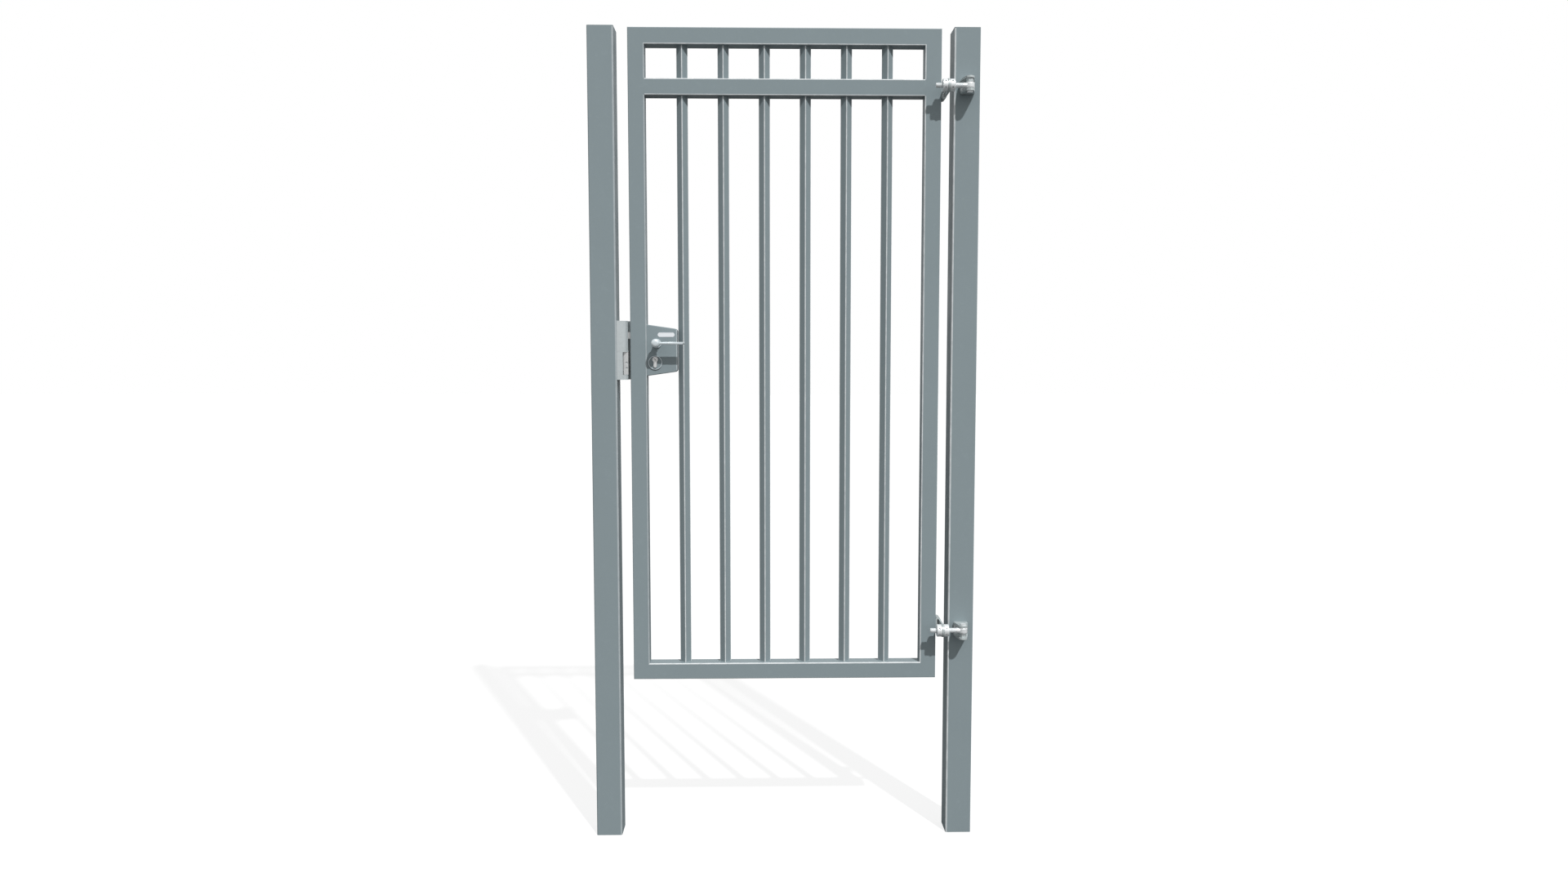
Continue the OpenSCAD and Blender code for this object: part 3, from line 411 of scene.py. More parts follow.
def dress(tree, shader, tone, roughness, normal):
    """Link a finish's colour, roughness and bump to its shader."""
    tree.links.new(tone, shader.inputs["Base Color"])
    tree.links.new(roughness, shader.inputs["Roughness"])
    tree.links.new(normal, shader.inputs["Normal"])


def new_finish(name):
    """A material with an empty Principled shader, and its Object coordinates."""
    finish = bpy.data.materials.new(name)
    finish.use_nodes = True
    tree = finish.node_tree
    shader = tree.nodes["Principled BSDF"]
    place = add_node(tree, "TexCoord").outputs["Object"]
    return finish, tree, shader, place


# ---- finishes ----------------------------------------------------------------


EDGE_BAND = 0.0012  # how far the painted edge highlight reaches from a corner's rounding onto the flats
HOUSING_HIGHLIGHT_SHARE = 0.55  # how much of the painted edge highlight shows on the lock housing's edges
WELD_FADE = 0.001  # width in which a stile's painted edge highlight fades out beside the mid rail

# side that a tube's painted edge highlight is on, the one that faces the
# opening, as axis and direction, and how much of the painted highlight shows there
HIGHLIGHT_SIDE = {
    "latch_post": (0, 1, 0.4), "hinge_post": (0, -1, 1.0), "latch_stile": (0, 1, 0.4),
    "hinge_stile": (0, -1, 1.0), "top_rail": (2, -1, 1.0), "bottom_rail": (2, 1, 1.0),
}


def on_edge(tree, first, second):
    """1 where both distances past the start of a corner's rounding are positive, 0 on flats."""
    inner = maths(tree, "MINIMUM", first, second)
    return ramp(tree, inner, -EDGE_BAND, -0.4 * EDGE_BAND, 0.0, 1.0)


def coat_finish(name, edge):
    """Satin powder coat: fine orange peel, faint mottling, and a painted highlight on the edges.

    edge(tree, x, y, z) returns 1 on the piece's edges and 0 on its flats.
    """
    colours = bpy.context.scene.gate_colours
    finish, tree, shader, place = new_finish(name)
    coat = tuple(colours.coat)
    mottle = noise(tree, place, 4.0, detail=3.0, roughness=0.6)
    tone = blend(tree, mottle, scaled(coat, 0.965), scaled(coat, 1.035))
    dust = ramp(tree, noise(tree, place, 60.0, detail=4.0, roughness=0.7), 0.52, 0.8, 0.0, 0.10)
    tone = blend(tree, dust, tone, scaled(coat, 1.5))
    axes = add_node(tree, "SeparateXYZ", {0: place}).outputs
    # painted highlight: a lighter colour along the rounded edges, patchy at random
    patchy = ramp(tree, noise(tree, place, 35.0, detail=3.0, roughness=0.6), 0.3, 0.7, 0.7, 1.0)
    highlight_mask = maths(tree, "MULTIPLY", edge(tree, *axes[0:3]), patchy)
    tone = blend(tree, highlight_mask, tone, tuple(colours.coat_edge))
    gloss = ramp(tree, noise(tree, place, 9.0, detail=3.0, roughness=0.6), 0.3, 0.7, 0.40, 0.52)
    peel = noise(tree, place, 900.0, detail=1.0, roughness=0.4)
    dress(tree, shader, tone, gloss, bump(tree, peel, strength=0.12, distance=0.0003))
    shader.inputs["Specular IOR Level"].default_value = 0.15
    return finish


def tube_edges(node, radius):
    """The long edges of a straight tube node on its open side, or all four of them."""
    low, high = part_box(node)
    size, centre = high - low, (low + high) / 2
    long_axis = max(range(3), key=lambda i: size[i])
    open_axis, direction, strength = HIGHLIGHT_SIDE.get(node, (None, 1, 1.0))
    rail_low, rail_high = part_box("mid_rail")

    def edge(tree, *place):
        depths = []
        for axis in range(3):
            if axis != long_axis:
                off = maths(tree, "SUBTRACT", place[axis], centre[axis])
                if axis == open_axis:
                    off = maths(tree, "MULTIPLY", off, direction)
                else:
                    off = maths(tree, "ABSOLUTE", off)
                depths.append(maths(tree, "SUBTRACT", off, size[axis] / 2 - radius))
        found = maths(tree, "MULTIPLY", on_edge(tree, *depths), strength)
        if not node.endswith("_stile"):
            return found
        off = maths(tree, "SUBTRACT", place[2], (rail_low.z + rail_high.z) / 2)
        half = (rail_high.z - rail_low.z) / 2
        clear = ramp(tree, maths(tree, "ABSOLUTE", off), half - WELD_FADE, half, 0.0, 1.0)
        return maths(tree, "MULTIPLY", found, clear)

    return edge


def bar_edges(radius):
    """The four long edges of every bar: squares on edge, one pitch apart along X."""
    low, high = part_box(BARS[0])
    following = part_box(BARS[1])[0]
    half_diagonal = (high.x - low.x) / 2
    side = (half_diagonal + radius * (sqrt(2) - 1)) * sqrt(2)
    pitch = following.x - low.x
    x0, y0 = (low.x + high.x) / 2, (low.y + high.y) / 2

    def edge(tree, x, y, z):
        across = maths(tree, "WRAP", maths(tree, "SUBTRACT", x, x0), pitch / 2, -pitch / 2)
        deep = maths(tree, "SUBTRACT", y, y0)
        depths = []
        for operation in ("ADD", "SUBTRACT"):
            turned = maths(tree, "MULTIPLY", maths(tree, operation, across, deep), sqrt(0.5))
            off = maths(tree, "ABSOLUTE", turned)
            depths.append(maths(tree, "SUBTRACT", off, side / 2 - radius))
        return on_edge(tree, *depths)

    return edge


def housing_edges(width):
    """The lock housing's upright free edges, front and back, which get a painted highlight."""
    low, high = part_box("lock_box")
    middle = (low.y + high.y) / 2

    def edge(tree, x, y, z):
        outwards = maths(tree, "SUBTRACT", x, high.x - width)
        off_middle = maths(tree, "ABSOLUTE", maths(tree, "SUBTRACT", y, middle))
        forwards = maths(tree, "SUBTRACT", off_middle, (high.y - low.y) / 2 - width)
        inner = maths(tree, "MINIMUM", outwards, forwards)
        return ramp(tree, inner, -0.6 * EDGE_BAND, 0.4 * EDGE_BAND, 0.0, HOUSING_HIGHLIGHT_SHARE)

    return edge


def no_edges(tree, x, y, z):
    """For a coated piece whose edges get no painted highlight."""
    return maths(tree, "MULTIPLY", x, 0.0)


def spangled_finish(name):
    """Dull galvanised zinc: flat crystals of slightly different tone, and fine pitting."""
    colour = tuple(bpy.context.scene.gate_colours.galvanised)
    finish, tree, shader, place = new_finish(name)
    crystals = add_node(tree, "TexVoronoi", {"Vector": place, "Scale": 150.0})
    grain = add_node(tree, "SeparateColor", {0: crystals.outputs["Color"]}).outputs[0]
    tone = blend(tree, grain, scaled(colour, 0.88), scaled(colour, 1.08))
    clouds = noise(tree, place, 45.0, detail=4.0, roughness=0.65)
    tone = blend(tree, ramp(tree, clouds, 0.50, 0.75, 0.0, 0.35), tone, scaled(colour, 0.78))
    sheen = ramp(tree, grain, 0.0, 1.0, 0.38, 0.52)
    pits = noise(tree, place, 700.0, detail=3.0, roughness=0.6)
    dress(tree, shader, tone, sheen, bump(tree, pits, strength=0.2, distance=0.0003))
    shader.inputs["Metallic"].default_value = 0.3
    return finish


def metal_finish(name, colour, metallic, rough, stretch, dirt):
    """Plated, anodised or ground metal: fine lines along one way, soft dirt and wear."""
    colour = tuple(getattr(bpy.context.scene.gate_colours, colour))
    finish, tree, shader, place = new_finish(name)
    lines = noise(tree, place, 300.0, detail=3.0, roughness=0.6, stretch=stretch)
    tone = blend(tree, lines, scaled(colour, 0.93), scaled(colour, 1.06))
    clouds = noise(tree, place, 55.0, detail=4.0, roughness=0.6)
    tone = blend(tree, ramp(tree, clouds, 0.48, 0.78, 0.0, dirt), tone, scaled(colour, 0.6))
    patches = noise(tree, place, 80.0, detail=3.0, roughness=0.6)
    sheen = ramp(tree, patches, 0.3, 0.7, rough - 0.05, rough + 0.07)
    dress(tree, shader, tone, sheen, bump(tree, lines, strength=0.10, distance=0.0002))
    shader.inputs["Metallic"].default_value = metallic
    return finish


def dark_finish(name, colour, rough, grain):
    """Moulded nylon or rubber: dark, with a fine moulded grain and grey dust."""
    finish, tree, shader, place = new_finish(name)
    dust = noise(tree, place, 120.0, detail=4.0, roughness=0.6)
    tone = blend(tree, ramp(tree, dust, 0.5, 0.8, 0.0, 0.4), colour, scaled(colour, 2.2))
    matt = ramp(tree, noise(tree, place, 90.0), 0.3, 0.7, rough - 0.06, rough + 0.06)
    moulded = bump(tree, noise(tree, place, grain), strength=0.25, distance=0.0003)
    dress(tree, shader, tone, matt, moulded)
    return finish


def plate_finish(name):
    """Pale enamelled plate with light handling marks."""
    colour = tuple(bpy.context.scene.gate_colours.plate)
    finish, tree, shader, place = new_finish(name)
    marks = noise(tree, place, 140.0, detail=4.0, roughness=0.7)
    tone = blend(tree, ramp(tree, marks, 0.55, 0.8, 0.0, 0.25), colour, scaled(colour, 0.8))
    gloss = ramp(tree, noise(tree, place, 60.0), 0.3, 0.7, 0.30, 0.42)
    brushed = bump(tree, noise(tree, place, 800.0), strength=0.08, distance=0.0002)
    dress(tree, shader, tone, gloss, brushed)
    return finish


# colour, share of metallic shine, roughness, stretch of the fine lines along the axes, dirt
METALS = {
    "zinc_steel": ("zinc", 0.35, 0.34, (1, 1, 1), 0.30),
    "satin_aluminium": ("aluminium", 0.35, 0.32, (0.15, 1, 1), 0.20),
    "cast_aluminium": ("cast_aluminium", 0.35, 0.32, (0.15, 1, 1), 0.20),
    "stainless_steel": ("stainless", 0.60, 0.30, (1, 1, 0.1), 0.25),
}

# colour, roughness, fineness of the moulded grain
DARK_STUFFS = {
    "bush_nylon": ((0.02, 0.02, 0.022), 0.5, 500.0),
    "buffer_rubber": ((0.015, 0.015, 0.015), 0.75, 900.0),
}


def finish_for(slot):
    """The shared finish of a material slot, or of the cast keep, made once."""
    name = "finish_" + slot
    if name in bpy.data.materials:
        return bpy.data.materials[name]
    if slot == "grey_paint":
        return coat_finish(name, no_edges)
    if slot == "galvanised_steel":
        return spangled_finish(name)
    if slot in METALS:
        return metal_finish(name, *METALS[slot])
    if slot in DARK_STUFFS:
        return dark_finish(name, *DARK_STUFFS[slot])
    raise RuntimeError(f"no finish for slot {slot}")


def paint_node(node, finish):
    """Put one finish in all of a CAD node's material slots."""
    materials = NODES[node].data.materials
    if not materials:
        materials.append(finish)
    for index in range(len(materials)):
        materials[index] = finish


# ---- operators ---------------------------------------------------------------


class GATE_OT_stage(bpy.types.Operator):
    """Camera, lamp, surroundings and pale floor"""

    bl_idname = "gate.stage"
    bl_label = "Stage"

    FLOOR_SIDE = 80.0  # reaches far past the view
    SUN_AWAY = 6.0  # where the lamp's symbol stands, which changes no light
    WHITE = (1, 1, 1, 1)
    FLOOR_GLOW = 0.8  # with the lit share below, a floor in the sun is just white
    FLOOR_LIT = (0.2, 0.2, 0.2, 1)  # share of the floor's white that a shadow takes away

    def execute(self, context):
        light = context.scene.gate_light
        rest()
        bpy.ops.object.camera_add(location=light.camera_place, rotation=light.camera_turn)
        camera = context.object
        camera.name = "camera"
        camera.data.sensor_width = 36.0
        camera.data.lens = light.lens
        camera.data.clip_start = 0.01
        context.scene.camera = camera
        context.scene.view_settings.view_transform = "Standard"

        towards = Vector(light.sun_towards).normalized()
        bpy.ops.object.light_add(
            type="SUN", location=towards * self.SUN_AWAY,
            rotation=towards.to_track_quat("Z", "Y").to_euler(),
        )
        sun = context.object
        sun.name = "sun"
        sun.data.energy = light.sun
        sun.data.angle = light.sun_angle

        self.surround(light)
        rest()
        bpy.ops.mesh.primitive_plane_add(size=self.FLOOR_SIDE, location=(0, 0, 0))
        floor = settle(context.object, "floor")
        floor.data.materials.append(self.floor_material())
        return {"FINISHED"}

    def seen(self, tree):
        """1 for camera rays, and 0 for the light that falls on things."""
        return add_node(tree, "LightPath").outputs["Is Camera Ray"]

    def surround(self, light):
        """World: white where it is seen, softer where it lights."""
        world = bpy.context.scene.world or bpy.data.worlds.new("surroundings")
        bpy.context.scene.world = world
        world.use_nodes = True
        tree = world.node_tree
        tree.nodes.clear()
        soft = add_node(tree, "Background", {0: self.WHITE, 1: light.sky}).outputs[0]
        white = add_node(tree, "Background", {0: self.WHITE, 1: 1.0}).outputs[0]
        mix = add_node(tree, "MixShader", {0: self.seen(tree), 1: soft, 2: white}).outputs[0]
        add_node(tree, "OutputWorld", {0: mix})

    def floor_material(self):
        """Pale floor: nearly white where it is seen, with the gate's shadow on it."""
        finish, tree, shader, place = new_finish("floor")
        colour = tuple(bpy.context.scene.gate_colours.floor)
        cloudy = noise(tree, place, 3.0, detail=3.0)
        tone = blend(tree, cloudy, scaled(colour, 0.97), scaled(colour, 1.03))
        tree.links.new(tone, shader.inputs["Base Color"])
        shader.inputs["Roughness"].default_value = 0.9
        glow = add_node(tree, "Emission", {0: self.WHITE, 1: self.FLOOR_GLOW}).outputs[0]
        matt = add_node(tree, "BsdfDiffuse", {0: self.FLOOR_LIT}).outputs[0]
        shown = add_node(tree, "AddShader", {0: glow, 1: matt}).outputs[0]
        mix = add_node(
            tree, "MixShader", {0: self.seen(tree), 1: shader.outputs[0], 2: shown},
        ).outputs[0]
        tree.links.new(mix, tree.nodes["Material Output"].inputs["Surface"])
        return finish


class GATE_OT_coat(bpy.types.Operator):
    """Powder coat on the posts, leaf tubes and bars, with a painted highlight on their edges"""

    bl_idname = "gate.coat"
    bl_label = "Powder coat"

    def execute(self, context):
        sizes = context.scene.gate_sizes
        for nodes, radius in ((POSTS, sizes.post_edge), (LEAF_TUBES, sizes.tube_edge)):
            for node in nodes:
                paint_node(node, coat_finish("coat_" + node, tube_edges(node, radius)))
        bar_coat = coat_finish("coat_bars", bar_edges(sizes.bar_edge))
        for node in BARS:
            paint_node(node, bar_coat)
        return {"FINISHED"}


class GATE_OT_metals(bpy.types.Operator):
    """Finish of every other CAD node, by its material slot"""

    bl_idname = "gate.metals"
    bl_label = "Metals, nylon, rubber and plain coat"

    def execute(self, context):
        for node in NODES:
            if node not in POSTS + LEAF_TUBES + BARS:
                paint_node(node, finish_for(SLOT_OF[node]))
        return {"FINISHED"}


class GATE_OT_eye_bolts(bpy.types.Operator):
    """Threaded eye bolts of both hinges"""

    bl_idname = "gate.eye_bolts"
    bl_label = "Eye bolts"

    BUSH_ROOM = 0.00005  # between the bush and the eye's bore
    EYE_ROUNDING = 0.005  # of the eye's outer rims
    CORE_R = 0.0069  # rod below its thread
    SHANK_R = 0.008  # plain rod beside the eye
    SHANK_INSIDE = 0.009  # where the shank ends inside the eye, from the pin's axis
    SHANK_STEP = 0.0015  # length of the slope from core to shank
    THREAD_DEPTH = 0.0011  # height of the ridge over the core, and the chamfer of the rod's end
    THREAD_BARE = 0.0022  # bare end of the rod in front of the thread
    RIDGE = 0.47  # half of a ridge's width, as a share of the pitch
    TURN_STEPS = 24  # facets in one turn of the thread

    def execute(self, context):
        low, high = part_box("upper_eye_bolt")
        eye_r = (high.y - low.y) / 2
        centre = Vector((high.x - eye_r, (low.y + high.y) / 2, (low.z + high.z) / 2))
        eye = self.eye(eye_r, high.z - low.z)
        rod = self.rod(centre.x - low.x)
        thread = self.thread(centre.x - low.x)
        join(eye, rod, thread)
        bpy.ops.transform.translate(value=centre)
        upper = settle(eye, "upper_threaded_eye_bolt")
        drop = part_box("lower_eye_bolt")[0].z - low.z
        lower = copy_of(upper, "lower_threaded_eye_bolt", (0, 0, drop))
        for piece, node in ((upper, "upper_eye_bolt"), (lower, "lower_eye_bolt")):
            wear(piece, finish_for("zinc_steel"), "zinc_steel", "leaf", node)
        return {"FINISHED"}

    def eye(self, radius, height):
        """Ring that the hinge pin's bush sits in."""
        bush_low, bush_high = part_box("hinge_bushes")
        bore = (bush_high.y - bush_low.y) / 2 + self.BUSH_ROOM
        rest()
        bpy.ops.mesh.primitive_cylinder_add(vertices=64, radius=radius, depth=height)
        eye = bpy.context.object
        open_mesh(eye)
        pick_faces(lambda c, n: abs(n.z) > MOSTLY)
        bpy.ops.mesh.inset(thickness=radius - bore)
        bpy.ops.mesh.bridge_edge_loops()
        rim = radius - NEAR
        pick_edges(
            lambda e, a, b: a.z * b.z > 0 and abs(a.z) > height / 2 - NEAR
            and a.xy.length > rim and b.xy.length > rim
        )
        bpy.ops.mesh.bevel(offset=self.EYE_ROUNDING, segments=6, affect="EDGES")
        close_mesh()
        return eye

    def rod(self, length):
        """Core of the rod with its plain shank, from the free end to inside the eye."""
        start = bpy.context.scene.gate_sizes.thread_start
        rest()
        bpy.ops.mesh.primitive_cylinder_add(
            vertices=48, radius=self.CORE_R, depth=length - start,
            location=(-(length + start) / 2, 0, 0), rotation=(0, pi / 2, 0),
        )
        rod = bpy.context.object
        bpy.ops.object.transform_apply(location=True, rotation=True)
        open_mesh(rod)
        pick_faces(lambda c, n: n.x < -MOSTLY)
        bpy.ops.mesh.bevel(offset=self.THREAD_DEPTH, segments=2, affect="EDGES")
        pick_faces(lambda c, n: n.x > MOSTLY)
        bpy.ops.mesh.extrude_region_move(
            TRANSFORM_OT_translate={"value": (self.SHANK_STEP, 0, 0)}
        )
        wider = self.SHANK_R / self.CORE_R
        bpy.ops.transform.resize(value=(1, wider, wider), center_override=(-start, 0, 0))
        bpy.ops.mesh.extrude_region_move(
            TRANSFORM_OT_translate={"value": (start - self.SHANK_STEP - self.SHANK_INSIDE, 0, 0)}
        )
        close_mesh()
        return rod

    def thread(self, length):
        """Helical ridge along the rod, on a diamond section turned round the rod's axis."""
        sizes = bpy.context.scene.gate_sizes
        pitch = sizes.thread_pitch
        first = -length + self.THREAD_BARE
        turns = int((length - self.THREAD_BARE - sizes.thread_start) / pitch)
        rest()
        bpy.ops.mesh.primitive_circle_add(
            vertices=4, radius=1.0, fill_type="NOTHING", location=(first, self.CORE_R, 0),
        )
        thread = bpy.context.object
        thread.scale = (self.RIDGE * pitch, self.THREAD_DEPTH, 1.0)
        bpy.ops.object.transform_apply(location=True, rotation=True, scale=True)
        screw = thread.modifiers.new("thread", "SCREW")
        screw.axis = "X"
        screw.angle = 2 * pi
        screw.iterations = turns
        screw.screw_offset = pitch
        screw.steps = self.TURN_STEPS
        screw.render_steps = self.TURN_STEPS
        bpy.ops.object.modifier_apply(modifier=screw.name)
        open_mesh(thread)
        bpy.ops.mesh.select_all(action="SELECT")
        bpy.ops.mesh.fill_holes(sides=4)
        close_mesh()
        return thread


class GATE_OT_adjusting_nuts(bpy.types.Operator):
    """Round nuts with chamfered rims and radial holes for a pin spanner"""

    bl_idname = "gate.adjusting_nuts"
    bl_label = "Adjusting nuts"

    STRAP_ROOM = 0.0001  # between a nut and the strap's leg
    BORE_R = 0.0081
    CHAMFER = 0.0015
    HOLES = 6  # radial holes of each nut
    HOLE_R = 0.003
    HOLE_DEPTH = 0.006

    def execute(self, context):
        low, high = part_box("upper_hinge_nuts")
        strap_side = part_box("upper_hinge_strap")[1].x
        radius = (high.z - low.z) / 2
        width = high.x - strap_side - self.STRAP_ROOM
        first = self.nut(radius, width)
        axis = Vector((0, (low.y + high.y) / 2, (low.z + high.z) / 2))
        bpy.ops.transform.translate(value=axis + Vector((low.x + width / 2, 0, 0)))
        first = settle(first, "upper_round_nuts")
        join(first, copy_of(first, "far_nut", (high.x - low.x - width, 0, 0)))
        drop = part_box("lower_hinge_nuts")[0].z - low.z
        lower = copy_of(first, "lower_round_nuts", (0, 0, drop))
        for piece, node in ((first, "upper_hinge_nuts"), (lower, "lower_hinge_nuts")):
            wear(piece, finish_for("zinc_steel"), "zinc_steel", "leaf", node)
        return {"FINISHED"}

    def nut(self, radius, width):
        """One nut lying along X, bored for the rod, with its spanner holes."""
        rest()
        bpy.ops.mesh.primitive_cylinder_add(
            vertices=96, radius=radius, depth=width, rotation=(0, pi / 2, 0),
        )
        nut = bpy.context.object
        bpy.ops.object.transform_apply(rotation=True)
        open_mesh(nut)
        pick_faces(lambda c, n: abs(n.x) > MOSTLY)
        bpy.ops.mesh.inset(thickness=radius - self.BORE_R)
        bpy.ops.mesh.bridge_edge_loops()
        rim = radius - NEAR
        pick_edges(
            lambda e, a, b: abs(a.x - b.x) < SAME and a.yz.length > rim and b.yz.length > rim
        )
        bpy.ops.mesh.bevel(offset=self.CHAMFER, segments=1, affect="EDGES")
        close_mesh()
        cutter = self.hole_cutter(radius)
        take(nut)
        cut = nut.modifiers.new("spanner holes", "BOOLEAN")
        cut.operation = "DIFFERENCE"
        cut.solver = "EXACT"
        cut.object = cutter
        bpy.ops.object.modifier_apply(modifier=cut.name)
        bpy.data.objects.remove(cutter)
        return take(nut)

    def hole_cutter(self, radius):
        """Ring of round pegs in the places of the spanner holes."""
        rest()
        bpy.ops.mesh.primitive_cylinder_add(
            vertices=32, radius=self.HOLE_R, depth=2 * self.HOLE_DEPTH, location=(0, 0, radius),
        )
        cutter = bpy.context.object
        bpy.ops.object.transform_apply(location=True)
        open_mesh(cutter)
        bpy.ops.mesh.select_all(action="SELECT")
        turn = 2 * pi / self.HOLES
        for _ in range(self.HOLES - 1):
            bpy.ops.mesh.duplicate()
            bpy.ops.transform.rotate(value=turn, orient_axis="X", center_override=(0, 0, 0))
        bpy.ops.object.mode_set(mode="OBJECT")
        return cutter


class GATE_OT_housing(bpy.types.Operator):
    """Lock housing with rounded front and back edges"""

    bl_idname = "gate.housing"
    bl_label = "Lock housing"

    # round pieces let into its faces, and how far past them the face's edges stay sharp
    LET_IN = (("lever_roses", 0.001), ("cylinder_rings", 0.004))

    def execute(self, context):
        sizes = context.scene.gate_sizes
        low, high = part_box("lock_box")
        hollows = []
        for node, room in self.LET_IN:
            a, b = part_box(node)
            hollows.append(((a.x + b.x) / 2, (a.z + b.z) / 2, (b.x - a.x) / 2 + room))
        housing = merged_copy("lock_box", "rounded_lock_housing")
        open_mesh(housing)

        def on_outline(edge, a, b):
            if abs(a.y - b.y) > SAME or min(abs(a.y - low.y), abs(a.y - high.y)) > SAME:
                return False
            if max(a.x, b.x) < low.x + NEAR or len(edge.link_faces) != 2:
                return False
            if edge.calc_face_angle() < SHARP:
                return False
            middle = (a + b) / 2
            return all(
                (middle.x - x) ** 2 + (middle.z - z) ** 2 > r * r for x, z, r in hollows
            )

        pick_edges(on_outline)
        bpy.ops.mesh.bevel(
            offset=sizes.housing_edge, segments=sizes.housing_steps, affect="EDGES",
        )
        close_mesh()
        settle(housing, "rounded_lock_housing", angle=25)
        coat = coat_finish("coat_housing", housing_edges(sizes.housing_edge))
        wear(housing, coat, "grey_paint", "leaf", "lock_box")
        return {"FINISHED"}


class GATE_OT_label_plate(bpy.types.Operator):
    """Bare pale plate on the lock housing's front"""

    bl_idname = "gate.label_plate"
    bl_label = "Label plate"

    FROM_STILE = 0.060  # plate's middle from the housing's side at the stile
    FROM_TOP = 0.0314  # plate's middle from the housing's highest point
    THICK = 0.0008
    RIM = 0.0007  # width of the raised rim
    SLOPE = 0.0003  # width of the slope inside the rim
    SUNK = 0.00025  # depth of the plate's field below the rim
    ROUNDING = 0.0002  # of the rim's outer edge

    def execute(self, context):
        sizes = context.scene.gate_sizes
        low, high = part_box("lock_box")
        straight = sizes.plate_length - sizes.plate_height
        centre = Vector(
            (low.x + self.FROM_STILE, low.y - self.THICK / 2, high.z - self.FROM_TOP)
        )
        rest()
        bpy.ops.mesh.primitive_cylinder_add(
            vertices=48, radius=sizes.plate_height / 2, depth=self.THICK,
            rotation=(pi / 2, 0, 0),
        )
        plate = context.object
        bpy.ops.object.transform_apply(rotation=True)
        open_mesh(plate)
        for side in (-1, 1):
            pick_verts(lambda v: v.x * side > SAME)
            bpy.ops.transform.translate(value=(side * straight / 2, 0, 0))
        pick_faces(lambda c, n: n.y < -MOSTLY)
        bpy.ops.mesh.inset(thickness=self.RIM)
        bpy.ops.mesh.inset(thickness=self.SLOPE, depth=-self.SUNK)
        front = SAME - self.THICK / 2
        pick_edges(
            lambda e, a, b: a.y < front and b.y < front and e.calc_face_angle(0) > SHARP
        )
        bpy.ops.mesh.bevel(offset=self.ROUNDING, segments=2, affect="EDGES")
        close_mesh()
        bpy.ops.transform.translate(value=centre)
        settle(plate, "bare_label_plate")
        wear(plate, plate_finish("enamel"), "satin_aluminium", "leaf")
        return {"FINISHED"}


class GATE_OT_weld_beads(bpy.types.Operator):
    """Painted weld beads where the bars meet the rails"""

    bl_idname = "gate.weld_beads"
    bl_label = "Weld beads"

    SPREAD = 1.15  # how far a bead reaches out on the rail, as a share of its height
    TIP = 0.0003  # how far it still reaches out where it ends on the bar
    CORNER = 0.0035  # rounding of a bead's corners
    GROUND = 0.98  # rounding of a flush weld, as a share of the stile's corner radius

    def execute(self, context):
        finish = finish_for("grey_paint")
        rails = {name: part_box(name) for name in ("top_rail", "mid_rail", "bottom_rail")}
        rows = (
            ("top_rail_beads", "short_bar_", rails["top_rail"][0].z, -1),
            ("mid_rail_upper_beads", "short_bar_", rails["mid_rail"][1].z, 1),
            ("mid_rail_lower_beads", "long_bar_", rails["mid_rail"][0].z, -1),
            ("bottom_rail_beads", "long_bar_", rails["bottom_rail"][1].z, 1),
        )
        for name, bars, level, grows in rows:
            row = self.row(name, [n for n in BARS if n.startswith(bars)], level, grows)
            wear(row, finish, "grey_paint", "leaf")
        wear(self.ground_welds(), finish, "grey_paint", "leaf")
        return {"FINISHED"}

    def ground_welds(self):
        """Welds ground flush where the mid rail's ends meet the stiles' rounded corners."""
        radius = bpy.context.scene.gate_sizes.tube_edge
        low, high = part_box("mid_rail")
        middle = (low + high) / 2
        rest()
        bpy.ops.mesh.primitive_cube_add(size=1, location=(low.x - radius / 2, middle.y, middle.z))
        first = bpy.context.object
        first.scale = (radius, high.y - low.y, high.z - low.z)
        bpy.ops.object.transform_apply(location=False, rotation=True, scale=True)
        open_mesh(first)
        pick_edges(lambda e, a, b: abs(a.x - b.x) > radius * MOSTLY)
        bpy.ops.mesh.bevel(offset=radius * self.GROUND, segments=4, affect="EDGES")
        close_mesh()
        first = settle(first, "mid_rail_ground_welds")
        return join(first, copy_of(first, "far_weld", (high.x - low.x + radius, 0, 0)))

    def row(self, name, bars, level, grows):
        """Beads of one row of bar ends, joined as one piece."""
        height = bpy.context.scene.gate_sizes.bead
        low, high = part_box(bars[0])
        half = (high.x - low.x) / 2
        rest()
        bpy.ops.mesh.primitive_cone_add(
            vertices=4, radius1=half + height * self.SPREAD, radius2=half + self.TIP,
            depth=height,
        )
        first = bpy.context.object
        open_mesh(first)
        pick_edges(lambda e, a, b: abs(a.z - b.z) > height * MOSTLY)
        bpy.ops.mesh.bevel(offset=self.CORNER, segments=4, affect="EDGES")
        close_mesh()
        if grows < 0:
            bpy.ops.transform.rotate(value=pi, orient_axis="X", center_override=(0, 0, 0))
        middle_y = (low.y + high.y) / 2
        beads = [first] + [twin_of(first) for _ in bars[1:]]
        for bead, bar in zip(beads, bars):
            a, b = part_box(bar)
            take(bead)
            bpy.ops.transform.translate(
                value=((a.x + b.x) / 2, middle_y, level + grows * height / 2)
            )
            bpy.ops.object.transform_apply(location=True, rotation=True)
        return settle(join(*beads), name)


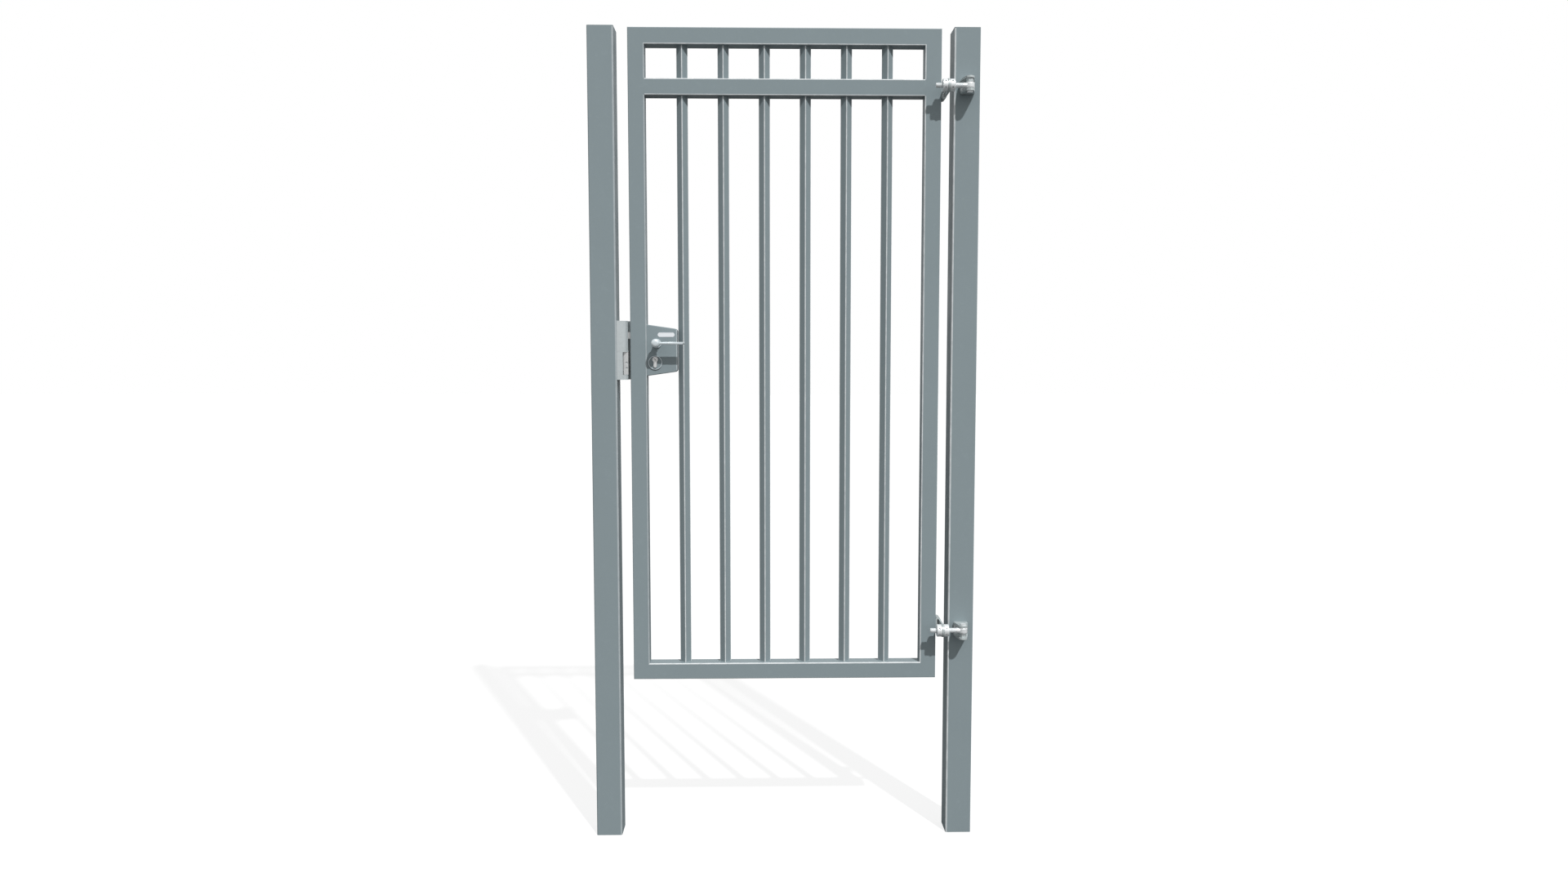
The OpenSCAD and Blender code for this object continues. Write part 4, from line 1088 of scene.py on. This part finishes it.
class GATE_OT_fittings(bpy.types.Operator):
    """Softened copies of the keep, hinge brackets, straps, levers and lock trim"""

    bl_idname = "gate.fittings"
    bl_label = "Softened fittings"

    SOFTENED = 50  # degrees between two faces past which their edge is softened
    # node and width of its softened edges, 0 for a round one that is only shaded smooth
    SOFT = (
        ("keep_body", 0.0006), ("keep_strike", 0.0006), ("lock_faceplate", 0.0003),
        ("upper_hinge_plate", 0.0007), ("lower_hinge_plate", 0.0007),
        ("upper_hinge_strap", 0.0006), ("lower_hinge_strap", 0.0006),
        ("front_lever", 0.0), ("back_lever", 0.0), ("lever_roses", 0.0004),
        ("cylinder_rings", 0.0003), ("cylinder_roses", 0.0), ("cylinder_body", 0.0003),
    )

    def execute(self, context):
        for node, width in self.SOFT:
            name = "soft_" + node
            piece = merged_copy(node, name, join_flats=width > 0)
            if width:
                edges = piece.modifiers.new("edges", "BEVEL")
                edges.width = width
                edges.segments = 2
                edges.limit_method = "ANGLE"
                edges.angle_limit = radians(self.SOFTENED)
                take(piece)
                bpy.ops.object.modifier_apply(modifier=edges.name)
            settle(piece, name, angle=32)
            if width:
                flat = piece.modifiers.new("flat", "WEIGHTED_NORMAL")
                flat.keep_sharp = True
                flat.weight = 100
                bpy.ops.object.modifier_apply(modifier=flat.name)
            look = "cast_aluminium" if node == "keep_body" else SLOT_OF[node]
            wear(piece, finish_for(look), SLOT_OF[node], body_of(node), node)
        return {"FINISHED"}


# ---- panel and registration --------------------------------------------------

STEPS = (
    GATE_OT_stage, GATE_OT_coat, GATE_OT_metals, GATE_OT_housing, GATE_OT_label_plate,
    GATE_OT_eye_bolts, GATE_OT_adjusting_nuts, GATE_OT_weld_beads, GATE_OT_fittings,
)
GROUPS = (
    ("gate_colours", GateColours), ("gate_sizes", GateSizes), ("gate_light", GateLight),
)


class GATE_PT_panel(bpy.types.Panel):
    """Sidebar panel with the gate's sizes, colours and steps"""

    bl_idname = "GATE_PT_panel"
    bl_label = "Garden Gate"
    bl_space_type = "VIEW_3D"
    bl_region_type = "UI"
    bl_category = "Garden Gate"

    def draw(self, context):
        layout = self.layout
        for key, group in GROUPS:
            box = layout.box()
            settings = getattr(context.scene, key)
            for prop in group.__annotations__:
                box.prop(settings, prop)
        for step in STEPS:
            layout.operator(step.bl_idname)


def register():
    for key, group in GROUPS:
        bpy.utils.register_class(group)
        setattr(bpy.types.Scene, key, bpy.props.PointerProperty(type=group))
    for step in STEPS:
        bpy.utils.register_class(step)
    bpy.utils.register_class(GATE_PT_panel)


def unregister():
    bpy.utils.unregister_class(GATE_PT_panel)
    for step in reversed(STEPS):
        bpy.utils.unregister_class(step)
    for key, group in reversed(GROUPS):
        delattr(bpy.types.Scene, key)
        bpy.utils.unregister_class(group)


def main():
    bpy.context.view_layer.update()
    register()
    bpy.ops.gate.stage()
    bpy.ops.gate.coat()
    bpy.ops.gate.metals()
    bpy.ops.gate.housing()
    bpy.ops.gate.label_plate()
    bpy.ops.gate.eye_bolts()
    bpy.ops.gate.adjusting_nuts()
    bpy.ops.gate.weld_beads()
    bpy.ops.gate.fittings()
    rest()


if __name__ == "__main__":
    main()
